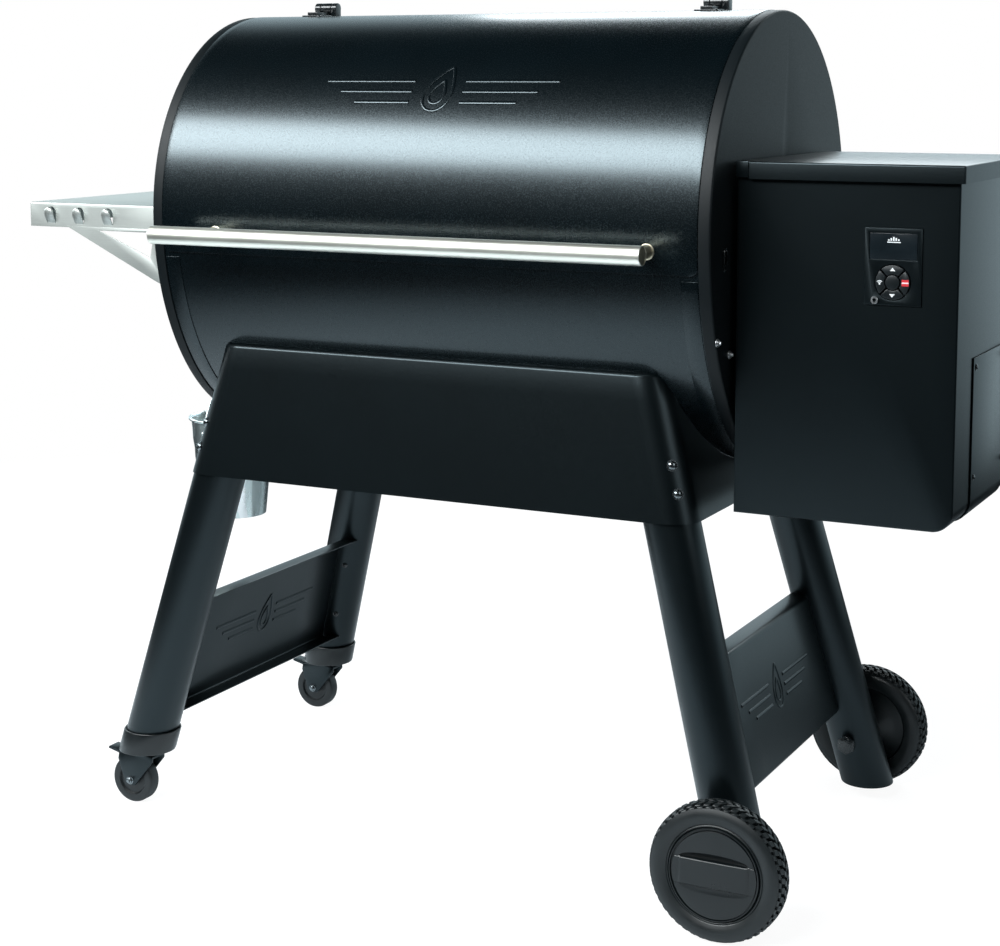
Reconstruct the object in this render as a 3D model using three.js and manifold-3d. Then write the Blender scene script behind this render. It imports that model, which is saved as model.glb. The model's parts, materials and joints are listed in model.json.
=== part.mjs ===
// Pellet smoker grill: a barrel on four splayed legs, with a pellet hopper on its right end.
// Millimetres, +Z up, +X towards the hopper, -Y towards the cook, floor at z = 0.

import * as THREE from 'three';
import { mergeVertices } from 'three/addons/utils/BufferGeometryUtils.js';
import Module from 'manifold-3d';

const wasm = await Module();
wasm.setup();

// ---------------------------------------------------------------- driving dimensions

const seamGap = 0.4; // clearance kept between pieces that touch

const barrel = {
    halfLength: 423,
    axisZ: 879,
    halfDepth: 271,
    rise: 283, // upper half of the section
    drop: 325, // lower half of the section
    wall: 2,
    segments: 40,
};
const endPlate = { flangeX: 406.3, thickness: 2, lipDepth: 12 }; // end cap: flange's inner edge, plate, lip
const lid = { halfLength: 405.5, frontEdgeZ: 828, rearEdgeY: 22, wall: 2, overlap: 9, cornerRadius: 10 };
const lidHinge = { x: 314, axisY: 30, axisZ: 1177, width: 37 };
const handle = { radius: 12.7, y: -331.3, z: 857, leftX: -381, rightX: 357 };
const handlePostX = [-315, 338];

const leg = { radius: 37.2, wall: 1.8, plug: 8, topZ: 660, x: 352, y: 215.5, datumZ: 506 };
const legSplay = { x: 0.268, y: 0.093 }; // outward travel for each unit of fall
const leftLegBottomZ = 88;
const rightLegBottomZ = 22;

const skirt = { bottomZ: 506, topZ: 695, innerRadius: 39.3, sheet: 1.5 };
const brace = { bottomZ: 137, topZ: 312, sheet: 2, flange: 28 };

const wheel = { radius: 90, width: 42, y: 323.5, hubRadius: 60, axleRadius: 8 };
const caster = { wheelRadius: 35, wheelWidth: 22, trail: 23, stemRadius: 6, cheekY: [13, 15.5] };
const brakePivot = { reach: 38, z: 71, pinRadius: 1.6 }; // behind the stem's axis

const hopper = { leftX: 431, rightX: 715, frontY: -201, backY: 165, bottomZ: 519, topZ: 951, wall: 1.5 };
const hopperLid = { leftX: 448.6, rightX: 722, frontY: -208, topZ: 970, skirtZ: 948 };
const lidRearHinge = { axisY: 171, axisZ: 961, width: 30 };
const hatch = { frontY: -123, backY: 49, topZ: 727 };

const controls = { x: 634, z: 825.5, padRadius: 22.6, faceY: -202.6 };
const display = { leftX: 604, rightX: 664, bottomZ: 853, topZ: 886 };

const auger = { z: 620, tubeRadius: 30, screwRadius: 24, shaftRadius: 8, pitch: 80 };
const hood = {
    halfLength: 330,
    y: [150, 262],
    z: [985, 1075],
    sheet: 2,
    slotCentres: [-240, -120, 0, 120, 240],
    slotHalf: 45,
    slotZ: [1005, 1025],
};
const ledges = [
    { innerY: 214, z: [722, 725] },
    { innerY: 246, z: [832.5, 836] },
];
const firePot = { radius: 58, bottomZ: 570, topZ: 665 };
const grateZ = 836.4;
const rackZ = 985;

const shelf = { leftX: -677, topZ: 889, halfDepth: 234, fascia: 36, sheet: 2 };
const bucket = { x: -478, rimZ: 545, bottomZ: 390, rimRadius: 69.5, footRadius: 50, wall: 1.5, earZ: 528 };
const bail = { reach: 75.9, wireRadius: 1.7 };
const hookRadius = 3;
const hookZ = bucket.earZ + bail.reach - bail.wireRadius - seamGap - hookRadius;

// ---------------------------------------------------------------- materials

/** Makes one material from a colour, a roughness and a metalness. */
function finish(color, roughness, metalness) {
    return () => new THREE.MeshStandardMaterial({ color, roughness, metalness });
}

const glossPowderCoat = finish(0x0d1a20, 0.28, 0.35);
const satinBlack = finish(0x12181b, 0.5, 0.3);
const stainless = finish(0xc9cdc8, 0.3, 1);
const warmStainless = finish(0xcfc6b0, 0.32, 1);
const brassTone = finish(0x8d7a52, 0.4, 1);
const galvanised = finish(0xa9b4b4, 0.35, 1);
const aluminised = finish(0x9a9c9a, 0.45, 1);
const blackRubber = finish(0x15171a, 0.85, 0);
const blackPlastic = finish(0x16181b, 0.55, 0);
const buttonPlastic = finish(0x2a2c2e, 0.45, 0);
const porcelain = finish(0x101214, 0.3, 0);
const castIron = finish(0x2b2b2b, 0.8, 0.6);
const zinc = finish(0xb5b8ba, 0.35, 1);
const smokedLens = finish(0x1b1f22, 0.1, 0);

// ---------------------------------------------------------------- geometry helpers

/** Turns a closed three.js geometry into a solid that can be joined and cut. */
function solidFrom(geometry) {
    const bare = geometry.clone();
    bare.deleteAttribute('normal');
    bare.deleteAttribute('uv');
    const merged = mergeVertices(bare, 1e-4);
    const mesh = new wasm.Mesh({
        numProp: 3,
        vertProperties: new Float32Array(merged.attributes.position.array),
        triVerts: new Uint32Array(merged.index.array),
    });
    return new wasm.Manifold(mesh);
}

/** Turns a solid back into a three.js geometry. */
function geometryFrom(solid) {
    const mesh = solid.getMesh();
    const geometry = new THREE.BufferGeometry();
    geometry.setAttribute('position', new THREE.BufferAttribute(mesh.vertProperties, 3));
    geometry.setIndex(new THREE.BufferAttribute(mesh.triVerts, 1));
    geometry.computeVertexNormals();
    return geometry;
}

function joined(...solids) {
    return solids.reduce((total, next) => total.add(next));
}

/** A block between opposite corners. */
function block([x0, x1], [y0, y1], [z0, z1]) {
    const geometry = new THREE.BoxGeometry(x1 - x0, y1 - y0, z1 - z0);
    geometry.translate((x0 + x1) / 2, (y0 + y1) / 2, (z0 + z1) / 2);
    return solidFrom(geometry);
}

/** A round bar from one point to another. */
function rod(radius, from, to, sides = 16) {
    const start = new THREE.Vector3(...from);
    const end = new THREE.Vector3(...to);
    const direction = end.clone().sub(start);
    const geometry = new THREE.CylinderGeometry(radius, radius, direction.length(), sides);
    const up = new THREE.Vector3(0, 1, 0);
    geometry.applyQuaternion(new THREE.Quaternion().setFromUnitVectors(up, direction.clone().normalize()));
    geometry.translate(...start.add(end).multiplyScalar(0.5).toArray());
    return solidFrom(geometry);
}

/** Extrudes an outline along X: the outline's x is Y and its y is Z. */
function alongX(outline, [x0, x1], curveSegments = 12) {
    const settings = { depth: x1 - x0, bevelEnabled: false, curveSegments };
    const geometry = new THREE.ExtrudeGeometry(outline, settings);
    const basis = new THREE.Matrix4().makeBasis(
        new THREE.Vector3(0, 1, 0),
        new THREE.Vector3(0, 0, 1),
        new THREE.Vector3(1, 0, 0),
    );
    geometry.applyMatrix4(basis);
    geometry.translate(x0, 0, 0);
    return solidFrom(geometry);
}

/** Extrudes an outline along Y: the outline's x is X and its y is Z. */
function alongY(outline, [y0, y1], curveSegments = 12) {
    const settings = { depth: y1 - y0, bevelEnabled: false, curveSegments };
    const geometry = new THREE.ExtrudeGeometry(outline, settings);
    geometry.rotateX(Math.PI / 2);
    geometry.translate(0, y1, 0);
    return solidFrom(geometry);
}

/** Turns a closed profile of [radius, height] points about Z. */
function turned(profile, sides) {
    const points = profile.map(([radius, height]) => new THREE.Vector2(radius, height));
    const geometry = new THREE.LatheGeometry([...points, points[0]], sides);
    geometry.rotateX(Math.PI / 2);
    return solidFrom(geometry);
}

/** An outline through [x, y] points. */
function polygon(points) {
    return new THREE.Shape(points.map(([x, y]) => new THREE.Vector2(x, y)));
}

/** A rectangle with one radius on every corner. */
function roundedRectangle([x0, x1], [y0, y1], radius) {
    const outline = new THREE.Shape();
    outline.absarc(x1 - radius, y0 + radius, radius, -Math.PI / 2, 0);
    outline.absarc(x1 - radius, y1 - radius, radius, 0, Math.PI / 2);
    outline.absarc(x0 + radius, y1 - radius, radius, Math.PI / 2, Math.PI);
    outline.absarc(x0 + radius, y0 + radius, radius, Math.PI, 1.5 * Math.PI);
    return outline;
}

/** A straight-sided funnel between two rectangles, each given as [[x0, x1], [y0, y1]]. */
function taperedBlock(lower, upper, [z0, z1]) {
    const geometry = new THREE.BoxGeometry(1, 1, 1);
    const corners = geometry.attributes.position;
    for (let i = 0; i < corners.count; i++) {
        const [xs, ys] = corners.getZ(i) < 0 ? lower : upper;
        const x = corners.getX(i) < 0 ? xs[0] : xs[1];
        const y = corners.getY(i) < 0 ? ys[0] : ys[1];
        corners.setXYZ(i, x, y, corners.getZ(i) < 0 ? z0 : z1);
    }
    return solidFrom(geometry);
}

/** Leans a geometry outwards on both sides, as the legs do, by shearing it about the datum height. */
function leaned(geometry) {
    const corners = geometry.attributes.position;
    for (let i = 0; i < corners.count; i++) {
        const fall = leg.datumZ - corners.getZ(i);
        const x = corners.getX(i);
        const y = corners.getY(i);
        corners.setX(i, x + Math.sign(x) * legSplay.x * fall);
        corners.setY(i, y + Math.sign(y) * legSplay.y * fall);
    }
    return solidFrom(geometry);
}

const grill = new THREE.Group();

/** Adds one named piece to the grill. */
function addPiece(name, solid, material) {
    const mesh = new THREE.Mesh(geometryFrom(solid), material());
    mesh.name = name;
    grill.add(mesh);
}

/** Calls a builder once for the front (-1) and once for the back (+1). */
function frontAndBack(build) {
    build('front', -1);
    build('back', 1);
}

/** Calls a builder once for the left (-1) and once for the right (+1). */
function leftAndRight(build) {
    build('left', -1);
    build('right', 1);
}

/** Puts a low and a high limit in order after mirroring by a side of -1 or +1. */
function mirrored(side, low, high) {
    return side > 0 ? [low, high] : [-high, -low];
}

// ---------------------------------------------------------------- barrel

/** The barrel's egg-shaped section, grown outwards by an offset. */
function barrelSection(offset) {
    const half = barrel.segments / 2;
    const points = [];
    for (let i = 0; i < barrel.segments; i++) {
        const angle = (i / half) * Math.PI;
        const height = (i < half ? barrel.rise : barrel.drop) + offset;
        const y = (barrel.halfDepth + offset) * Math.cos(angle);
        points.push(new THREE.Vector2(y, barrel.axisZ + height * Math.sin(angle)));
    }
    return new THREE.Shape(points);
}

function barrelSolid(offset, halfLength) {
    return alongX(barrelSection(offset), [-halfLength, halfLength]);
}

/** Everything in front of the lid's rear edge and above its front edge, inset by a margin. */
function lidRegion(margin) {
    const outline = roundedRectangle(
        [-lid.halfLength + margin, lid.halfLength - margin],
        [lid.frontEdgeZ + margin, 1300],
        lid.cornerRadius,
    );
    return alongY(outline, [-400, lid.rearEdgeY - margin], 4);
}

/** Smoke hood along the back, open below, just clear of the barrel that it covers. */
function buildExhaustHood() {
    const { halfLength, y, z, sheet } = hood;
    const outer = block([-halfLength, halfLength], y, z);
    const innerX = halfLength - sheet;
    const inner = block([-innerX, innerX], [y[0] - 10, y[1] - sheet], [z[0] - 5, z[1] - sheet]);
    const barrelClear = barrelSolid(seamGap, halfLength + 10);
    addPiece('exhaust_hood', outer.subtract(inner).subtract(barrelClear), glossPowderCoat);
}

function exhaustSlots() {
    const { slotCentres, slotHalf, slotZ } = hood;
    const slots = slotCentres.map((x) => block([x - slotHalf, x + slotHalf], hood.y, slotZ));
    return joined(...slots);
}

/** Ledges inside the barrel: for the drip tray, and for the cooking grate. */
function innerLedges() {
    const blocks = [];
    for (const side of [-1, 1]) {
        for (const ledge of ledges) {
            blocks.push(block([-385, 385], mirrored(side, ledge.innerY, barrel.halfDepth), ledge.z));
        }
    }
    return joined(...blocks).intersect(barrelSolid(-1, 390));
}

function buildBarrelShell() {
    const halfLength = endPlate.flangeX - seamGap;
    const tube = barrelSolid(0, halfLength).subtract(barrelSolid(-barrel.wall, halfLength + 1));
    const opened = tube.subtract(lidRegion(lid.overlap));
    const shell = joined(opened, innerLedges()).subtract(exhaustSlots());
    addPiece('barrel_shell', shell, glossPowderCoat);
}

/** A pressed end cap: a flat plate, a flange as deep as the lid's margin, and a lip inside the shell. */
function endCap(side) {
    const { flangeX, thickness, lipDepth } = endPlate;
    const lipOffset = -barrel.wall - seamGap;
    const flange = alongX(barrelSection(2), mirrored(side, flangeX, barrel.halfLength));
    const lip = alongX(barrelSection(lipOffset), mirrored(side, flangeX - lipDepth, flangeX + 1));
    const hollowSpan = mirrored(side, 300, barrel.halfLength - thickness);
    const hollow = alongX(barrelSection(lipOffset - thickness), hollowSpan);
    const rackLedge = block(mirrored(side, 372, barrel.halfLength - 1), [-40, 190], [rackZ - 7, rackZ - 4]);
    return joined(flange, lip).subtract(hollow).add(rackLedge);
}

/** Sloping drain spout and the hook that the bucket's bail hangs on. */
function drainSpout() {
    const spout = rod(17, [-380, 0, 592], [bucket.x + 10, 0, 572], 16);
    const bore = rod(15, [-370, 0, 593], [bucket.x, 0, 570], 16);
    const hookX = bucket.x - 8;
    const hook = rod(hookRadius, [-421, 0, hookZ], [hookX, 0, hookZ], 10);
    const tip = rod(hookRadius, [hookX, 0, hookZ - 1], [hookX, 0, hookZ + 9], 10);
    const insideBarrel = block([-390, -372], [-20, 20], [560, 620]);
    return { pipe: spout.subtract(insideBarrel), bore, hook: hook.add(tip) };
}

function buildEndCaps() {
    const spout = drainSpout();
    const leftCap = joined(endCap(-1), spout.pipe, spout.hook).subtract(spout.bore);
    addPiece('end_cap_left', leftCap, satinBlack);

    const augerHole = rod(auger.tubeRadius + seamGap, [380, 0, auger.z], [440, 0, auger.z], 24);
    addPiece('end_cap_right', endCap(1).subtract(augerHole), satinBlack);
}

// ---------------------------------------------------------------- hinges shared by both lids

const hingePin = 3.6;
const hingeBarrel = 8;
const hingeSideGap = 0.6;

/** Two ears and a pin along X. reach is the low corner [y, z] that the ears run down to. */
function hingeEars(x, axisY, axisZ, width, [reachY, reachZ]) {
    const ears = [];
    for (const [x0, x1] of [[x - width / 2, x - width / 4], [x + width / 4, x + width / 2]]) {
        ears.push(rod(hingeBarrel, [x0, axisY, axisZ], [x1, axisY, axisZ]));
        ears.push(block([x0, x1], [reachY, axisY + hingeBarrel - 0.5], [reachZ, axisZ]));
    }
    const pin = rod(hingePin, [x - width / 2 + 1, axisY, axisZ], [x + width / 2 - 1, axisY, axisZ], 12);
    return joined(...ears, pin);
}

/** The knuckle that turns on the pin between the ears, without its bore. */
function hingeKnuckle(x, axisY, axisZ, width) {
    const half = width / 4 - hingeSideGap;
    return rod(hingeBarrel, [x - half, axisY, axisZ], [x + half, axisY, axisZ]);
}

function hingeBore(x, axisY, axisZ, width) {
    return rod(hingePin + 0.5, [x - width, axisY, axisZ], [x + width, axisY, axisZ], 12);
}

// ---------------------------------------------------------------- lid

function buildLid() {
    const sheet = barrelSolid(0.5 + lid.wall, lid.halfLength).subtract(barrelSolid(0.5, lid.halfLength + 1));
    addPiece('lid_shell', sheet.intersect(lidRegion(0)), glossPowderCoat);
}

function buildLidHinges() {
    const { axisY, axisZ, width } = lidHinge;
    const shellClear = barrelSolid(seamGap, 400);
    leftAndRight((name, side) => {
        const x = side * lidHinge.x;
        const foot = block([x - width / 2, x + width / 2], [23, 54], [1140, 1165]);
        const ears = hingeEars(x, axisY, axisZ, width, [23, 1150]);
        addPiece(`lid_hinge_base_${name}`, joined(foot, ears).subtract(shellClear), satinBlack);

        const half = width / 4 - hingeSideGap;
        const strap = block([x - half, x + half], [-14, 31], [1166.2, 1170.5]);
        const leaf = joined(strap, hingeKnuckle(x, axisY, axisZ, width));
        addPiece(`lid_hinge_leaf_${name}`, leaf.subtract(hingeBore(x, axisY, axisZ, width)), satinBlack);
    });
}

function buildHandle() {
    const { radius, y, z, leftX, rightX } = handle;
    addPiece('lid_handle_bar', rod(radius, [leftX, y, z], [rightX, y, z], 28), warmStainless);

    const barClear = rod(radius + seamGap, [leftX, y, z], [rightX, y, z], 28);
    const lidClear = barrelSolid(0.5 + lid.wall + seamGap, lid.halfLength);
    ['left', 'right'].forEach((name, i) => {
        const post = rod(9, [handlePostX[i], y, z], [handlePostX[i], y + 75, z], 18);
        addPiece(`handle_post_${name}`, post.subtract(barClear).subtract(lidClear), brassTone);
    });
}

// ---------------------------------------------------------------- legs, skirt and braces

/** A point on a leg's centre line at a height. sides are -1 or +1 for X and for Y. */
function legPoint(sideX, sideY, z) {
    const fall = leg.datumZ - z;
    return [sideX * (leg.x + legSplay.x * fall), sideY * (leg.y + legSplay.y * fall), z];
}

function legRod(sideX, sideY, radius, z0 = -60, z1 = 760) {
    return rod(radius, legPoint(sideX, sideY, z0), legPoint(sideX, sideY, z1), 24);
}

function legSlice(z0, z1) {
    return block([-600, 600], [-400, 400], [z0, z1]);
}

/** One leg tube, cut to the barrel. The right legs are plugged at the foot and drilled for an axle. */
function legTube(sideX, sideY, barrelClear) {
    const bottomZ = sideX < 0 ? leftLegBottomZ : rightLegBottomZ;
    const outer = legRod(sideX, sideY, leg.radius);
    const inner = legRod(sideX, sideY, leg.radius - leg.wall);
    const tube = outer.subtract(inner).intersect(legSlice(bottomZ, leg.topZ)).subtract(barrelClear);
    if (sideX < 0) {
        return tube;
    }
    const plugSlice = legSlice(bottomZ, bottomZ + leg.plug);
    const plug = legRod(sideX, sideY, leg.radius - leg.wall / 2).intersect(plugSlice);
    const [x, y, z] = legPoint(sideX, sideY, wheel.radius);
    return tube.add(plug).subtract(rod(wheel.axleRadius + seamGap, [x, y - 60, z], [x, y + 60, z]));
}

function buildLegs() {
    const barrelClear = barrelSolid(seamGap, barrel.halfLength - 1);
    leftAndRight((nameX, sideX) => {
        frontAndBack((nameY, sideY) => {
            addPiece(`leg_${nameY}_${nameX}`, legTube(sideX, sideY, barrelClear), satinBlack);
        });
    });
}

/** A rounded rectangle round the four legs, extruded over a height and leaned with them. */
function skirtBody(radius, [z0, z1]) {
    const halfX = leg.x + radius;
    const halfY = leg.y + radius;
    const outline = roundedRectangle([-halfX, halfX], [-halfY, halfY], radius);
    const settings = { depth: z1 - z0, bevelEnabled: false, curveSegments: 8 };
    const geometry = new THREE.ExtrudeGeometry(outline, settings);
    geometry.translate(0, 0, z0);
    return leaned(geometry);
}

/** A sheet skirt that wraps the leg tops, in a front half and a back half. */
function buildSkirts() {
    const outer = skirtBody(skirt.innerRadius + skirt.sheet, [skirt.bottomZ, skirt.topZ]);
    const inner = skirtBody(skirt.innerRadius, [skirt.bottomZ - 1, skirt.topZ - skirt.sheet]);
    const sheet = outer.subtract(inner).subtract(barrelSolid(seamGap, 500));
    frontAndBack((name, side) => {
        const half = sheet.intersect(block([-600, 600], mirrored(side, 0.5, 400), [400, 800]));
        addPiece(`skirt_${name}`, half, satinBlack);
    });
}

/** A channel-shaped brace between the front and back legs of one side, flanges inwards. */
function braceBody(side) {
    const { bottomZ, topZ, sheet, flange } = brace;
    const face = side > 0 ? [leg.x - sheet, leg.x] : [-leg.x, -leg.x + sheet];
    const depth = side > 0 ? [leg.x - flange, leg.x - sheet / 2] : [-leg.x + sheet / 2, -leg.x + flange];
    const panels = [
        [face, [bottomZ, topZ]],
        [depth, [bottomZ, bottomZ + sheet]],
        [depth, [topZ - sheet, topZ]],
    ];
    const solids = panels.map(([[x0, x1], [z0, z1]]) => {
        const geometry = new THREE.BoxGeometry(x1 - x0, 2 * leg.y, z1 - z0);
        geometry.translate((x0 + x1) / 2, 0, (z0 + z1) / 2);
        return leaned(geometry);
    });
    return joined(...solids);
}

function buildBraces() {
    leftAndRight((name, side) => {
        const legsClear = joined(...[-1, 1].map((sideY) => legRod(side, sideY, leg.radius + seamGap)));
        addPiece(`brace_${name}`, braceBody(side).subtract(legsClear), satinBlack);
    });
}

// ---------------------------------------------------------------- rolling gear

/** Lays a solid that was turned about Z along Y, with its top facing outwards on a side, and moves it. */
function acrossY(solid, side, [x, y, z]) {
    return solid.rotate([side > 0 ? -90 : 90, 0, 0]).translate([x, y, z]);
}

function buildWheel(name, side) {
    const half = wheel.width / 2;
    const [axleX] = legPoint(1, side, wheel.radius);
    const centre = [axleX, side * wheel.y, wheel.radius];
    const tyreSection = [
        [wheel.hubRadius + seamGap, -half],
        [wheel.radius - 8, -half],
        [wheel.radius, -half + 9],
        [wheel.radius, half - 9],
        [wheel.radius - 8, half],
        [wheel.hubRadius + seamGap, half],
    ];
    addPiece(`tyre_${name}`, acrossY(turned(tyreSection, 36), side, centre), blackRubber);

    const hubSection = [
        [0, half - 6],
        [wheel.axleRadius + seamGap, half - 6],
        [wheel.axleRadius + seamGap, -half + 1],
        [24, -half + 1],
        [30, -half + 6],
        [wheel.hubRadius, -half + 6],
        [wheel.hubRadius, half - 2],
        [wheel.hubRadius - 3, half - 0.2],
        [0, half - 0.2],
    ];
    addPiece(`wheel_hub_${name}`, acrossY(turned(hubSection, 28), side, centre), blackPlastic);
}

/** Stub axle: a bolt through the leg with its head inside and a spacer outside. */
function buildAxle(name, side) {
    const [x, legY, z] = legPoint(1, side, wheel.radius);
    const at = (distance) => [x, side * distance, z];
    const legFaceY = Math.abs(legY) + leg.radius + 2.4;
    const wheelFaceY = wheel.y - wheel.width / 2;
    const bolt = joined(
        rod(wheel.axleRadius, at(208), at(wheel.y + wheel.width / 2 - 7), 16),
        rod(14, at(205), at(212), 6),
        rod(14, at(legFaceY), at(wheelFaceY + 0.4), 16),
    );
    addPiece(`axle_bolt_${name}`, bolt, zinc);
}

/** Foot socket over a left leg's end, with the caster's stem below it. */
function buildCasterSocket(name, side) {
    const sleeve = legRod(-1, side, 40.5).intersect(legSlice(84, 117));
    const bore = legRod(-1, side, leg.radius + seamGap).intersect(legSlice(leftLegBottomZ - seamGap, 300));
    const [x, y] = legPoint(-1, side, leftLegBottomZ);
    const stem = rod(caster.stemRadius, [x, y, 71.6], [x, y, 86], 16);
    addPiece(`caster_socket_${name}`, joined(sleeve.subtract(bore), stem), blackPlastic);
}

/** Swivelling fork: top plate, two cheeks, axle and the brake's pivot pin. */
function buildCasterFork(name, side) {
    const [x, y] = legPoint(-1, side, leftLegBottomZ);
    const wheelX = x - caster.trail;
    const cheekOutline = polygon([
        [x + 18, 76],
        [x - 42, 76],
        [x - 44, 66],
        [wheelX - 8, 28],
        [wheelX + 8, 28],
        [x + 18, 68],
    ]);
    const [cheekInner, cheekOuter] = caster.cheekY;
    const cheeks = [
        alongY(cheekOutline, [y - cheekOuter, y - cheekInner]),
        alongY(cheekOutline, [y + cheekInner, y + cheekOuter]),
    ];
    const plate = block([x - 31, x + 18], [y - cheekOuter, y + cheekOuter], [72.5, 76]);
    const collar = rod(16, [x, y, 75], [x, y, 83.5], 20);
    const axle = rod(4, [wheelX, y - 15, caster.wheelRadius], [wheelX, y + 15, caster.wheelRadius], 12);
    const { reach, z } = brakePivot;
    const brakePin = rod(brakePivot.pinRadius, [x - reach, y - 15, z], [x - reach, y + 15, z], 8);
    const stemBore = rod(caster.stemRadius + seamGap, [x, y, 60], [x, y, 90], 16);
    const fork = joined(...cheeks, plate, collar).subtract(stemBore);
    addPiece(`caster_fork_${name}`, joined(fork, axle, brakePin), satinBlack);
}

function buildCasterWheel(name, side) {
    const [x, y] = legPoint(-1, side, leftLegBottomZ);
    const half = caster.wheelWidth / 2;
    const section = [
        [4.4, -half],
        [caster.wheelRadius - 4, -half],
        [caster.wheelRadius, -half + 5],
        [caster.wheelRadius, half - 5],
        [caster.wheelRadius - 4, half],
        [4.4, half],
    ];
    const centre = [x - caster.trail, y, caster.wheelRadius];
    addPiece(`caster_wheel_${name}`, acrossY(turned(section, 20), side, centre), blackRubber);
}

/** Foot lever that locks a caster. */
function buildCasterBrake(name, side) {
    const [x, y] = legPoint(-1, side, leftLegBottomZ);
    const pivot = [x - brakePivot.reach, brakePivot.z];
    const barrelPart = rod(4, [pivot[0], y - 12, pivot[1]], [pivot[0], y + 12, pivot[1]], 14);
    const blade = polygon([
        [pivot[0] + 1, pivot[1] - 2],
        [pivot[0] + 1, pivot[1] + 4],
        [pivot[0] - 8, pivot[1] + 7],
        [pivot[0] - 26, pivot[1] + 9],
        [pivot[0] - 27, pivot[1] + 6],
        [pivot[0] - 10, pivot[1] + 2],
    ]);
    const bore = rod(2, [pivot[0], y - 20, pivot[1]], [pivot[0], y + 20, pivot[1]], 8);
    const lever = joined(barrelPart, alongY(blade, [y - 11, y + 11])).subtract(bore);
    addPiece(`caster_brake_${name}`, lever, satinBlack);
}

function buildRollingGear() {
    frontAndBack(buildWheel);
    frontAndBack(buildAxle);
    frontAndBack(buildCasterSocket);
    frontAndBack(buildCasterFork);
    frontAndBack(buildCasterWheel);
    frontAndBack(buildCasterBrake);
}

// ---------------------------------------------------------------- hopper

/** The hopper seen from the front, with its lower right corner rounded, grown by an offset. */
function hopperOutline(offset, topZ) {
    const radius = 27 + offset;
    const right = hopper.rightX + offset;
    const bottom = hopper.bottomZ - offset;
    const outline = new THREE.Shape();
    outline.moveTo(hopper.leftX - offset, topZ);
    outline.lineTo(hopper.leftX - offset, bottom);
    outline.absarc(right - radius, bottom + radius, radius, -Math.PI / 2, 0);
    outline.lineTo(right, topZ);
    return outline;
}

/** Fixed strip along the hopper's left edge, level with the lid. */
function hopperStrip() {
    const rightX = hopperLid.leftX - 0.6;
    const { frontY, topZ } = hopperLid;
    const outer = block([hopper.leftX, rightX], [frontY, hopper.backY], [hopper.topZ - 1, topZ]);
    const inner = block(
        [hopper.leftX + 2, rightX - 2],
        [frontY + 2, hopper.backY - 2],
        [hopper.topZ - 9, topZ - 2],
    );
    return outer.subtract(inner);
}

const rearHingeX = [505, 665];

function buildHopperBox() {
    const { leftX, frontY, backY, bottomZ, topZ, wall } = hopper;
    const outside = alongY(hopperOutline(0, topZ), [frontY, backY], 6);
    const inside = alongY(hopperOutline(-wall, topZ + 50), [frontY + wall, backY - wall], 6);
    const collarOuter = block([barrel.halfLength + seamGap, leftX + 1], [-110, 110], [560, 860]);
    const collarInner = block([400, leftX + wall + 1], [-106, 106], [564, 856]);
    const hinges = rearHingeX.map((x) => {
        return hingeEars(x, lidRearHinge.axisY, lidRearHinge.axisZ, lidRearHinge.width, [backY - 1, 935]);
    });
    const openings = [
        block([597.6, 670.4], [frontY - 5, frontY + 5], [796.6, 892.4]), // control panel
        rod(40, [515, 0, bottomZ - 5], [515, 0, bottomZ + 5], 24), // air intake under the fan
        block([565.6, 624.4], [backY - 5, backY + 5], [575.6, 624.4]), // power inlet
    ];
    const body = joined(outside.subtract(inside), hopperStrip(), collarOuter, ...hinges);
    addPiece('hopper_box', body.subtract(collarInner).subtract(joined(...openings)), satinBlack);
}

function buildHopperLid() {
    const { leftX, rightX, frontY, topZ, skirtZ } = hopperLid;
    const { axisY, axisZ, width } = lidRearHinge;
    const rearY = 161;
    const top = block([leftX, rightX], [frontY, rearY], [topZ - 2, topZ]);
    const front = block([leftX, rightX], [frontY, frontY + 2], [skirtZ, topZ]);
    const rightEdge = block([rightX - 2, rightX], [frontY, rearY], [skirtZ, topZ]);
    const knuckles = rearHingeX.map((x) => {
        const half = width / 4 - hingeSideGap;
        const strap = block([x - half, x + half], [rearY - 20, axisY], [topZ - 4, topZ - 1.2]);
        const leaf = joined(strap, hingeKnuckle(x, axisY, axisZ, width));
        return leaf.subtract(hingeBore(x, axisY, axisZ, width));
    });
    addPiece('hopper_lid', joined(top, front, rightEdge, ...knuckles), satinBlack);
}

/** Sheet funnel that feeds pellets down to the auger. */
function buildHopperBin() {
    const throat = [[515, 625], [-22, 22]];
    const mouth = [[450, 700], [-178, 158]];
    const [throatZ, mouthZ, rimZ] = [653, 800, 944];
    const grow = ([[x0, x1], [y0, y1]], by) => [[x0 - by, x1 + by], [y0 - by, y1 + by]];
    const outerMouth = grow(mouth, hopper.wall);
    const funnelOuter = taperedBlock(grow(throat, hopper.wall), outerMouth, [throatZ, mouthZ]);
    const funnelInner = taperedBlock(throat, mouth, [throatZ, mouthZ]);
    const chuteOuter = block(outerMouth[0], outerMouth[1], [mouthZ - 1, rimZ]);
    const chuteInner = block(mouth[0], mouth[1], [mouthZ - 10, rimZ + 6]);
    const throatCut = block(throat[0], throat[1], [throatZ - 13, throatZ + 7]);
    const funnel = funnelOuter.subtract(funnelInner);
    const chute = chuteOuter.subtract(chuteInner);
    addPiece('hopper_bin', joined(funnel, chute).subtract(throatCut), aluminised);
}

/** Service panel on the hopper's right side, following the rounded bottom edge. */
function buildHopperHatch() {
    const outer = alongY(hopperOutline(seamGap + 2, 740), [hatch.frontY, hatch.backY], 6);
    const inner = alongY(hopperOutline(seamGap, 760), [hatch.frontY - 1, hatch.backY + 1], 6);
    const keep = block([694, 730], [-200, 200], [500, hatch.topZ]);
    addPiece('hopper_side_panel', outer.subtract(inner).intersect(keep), satinBlack);
}

// ---------------------------------------------------------------- controls

const padSlots = { inner: 10.3, outer: 21.4, gap: 1.1 };

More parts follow.
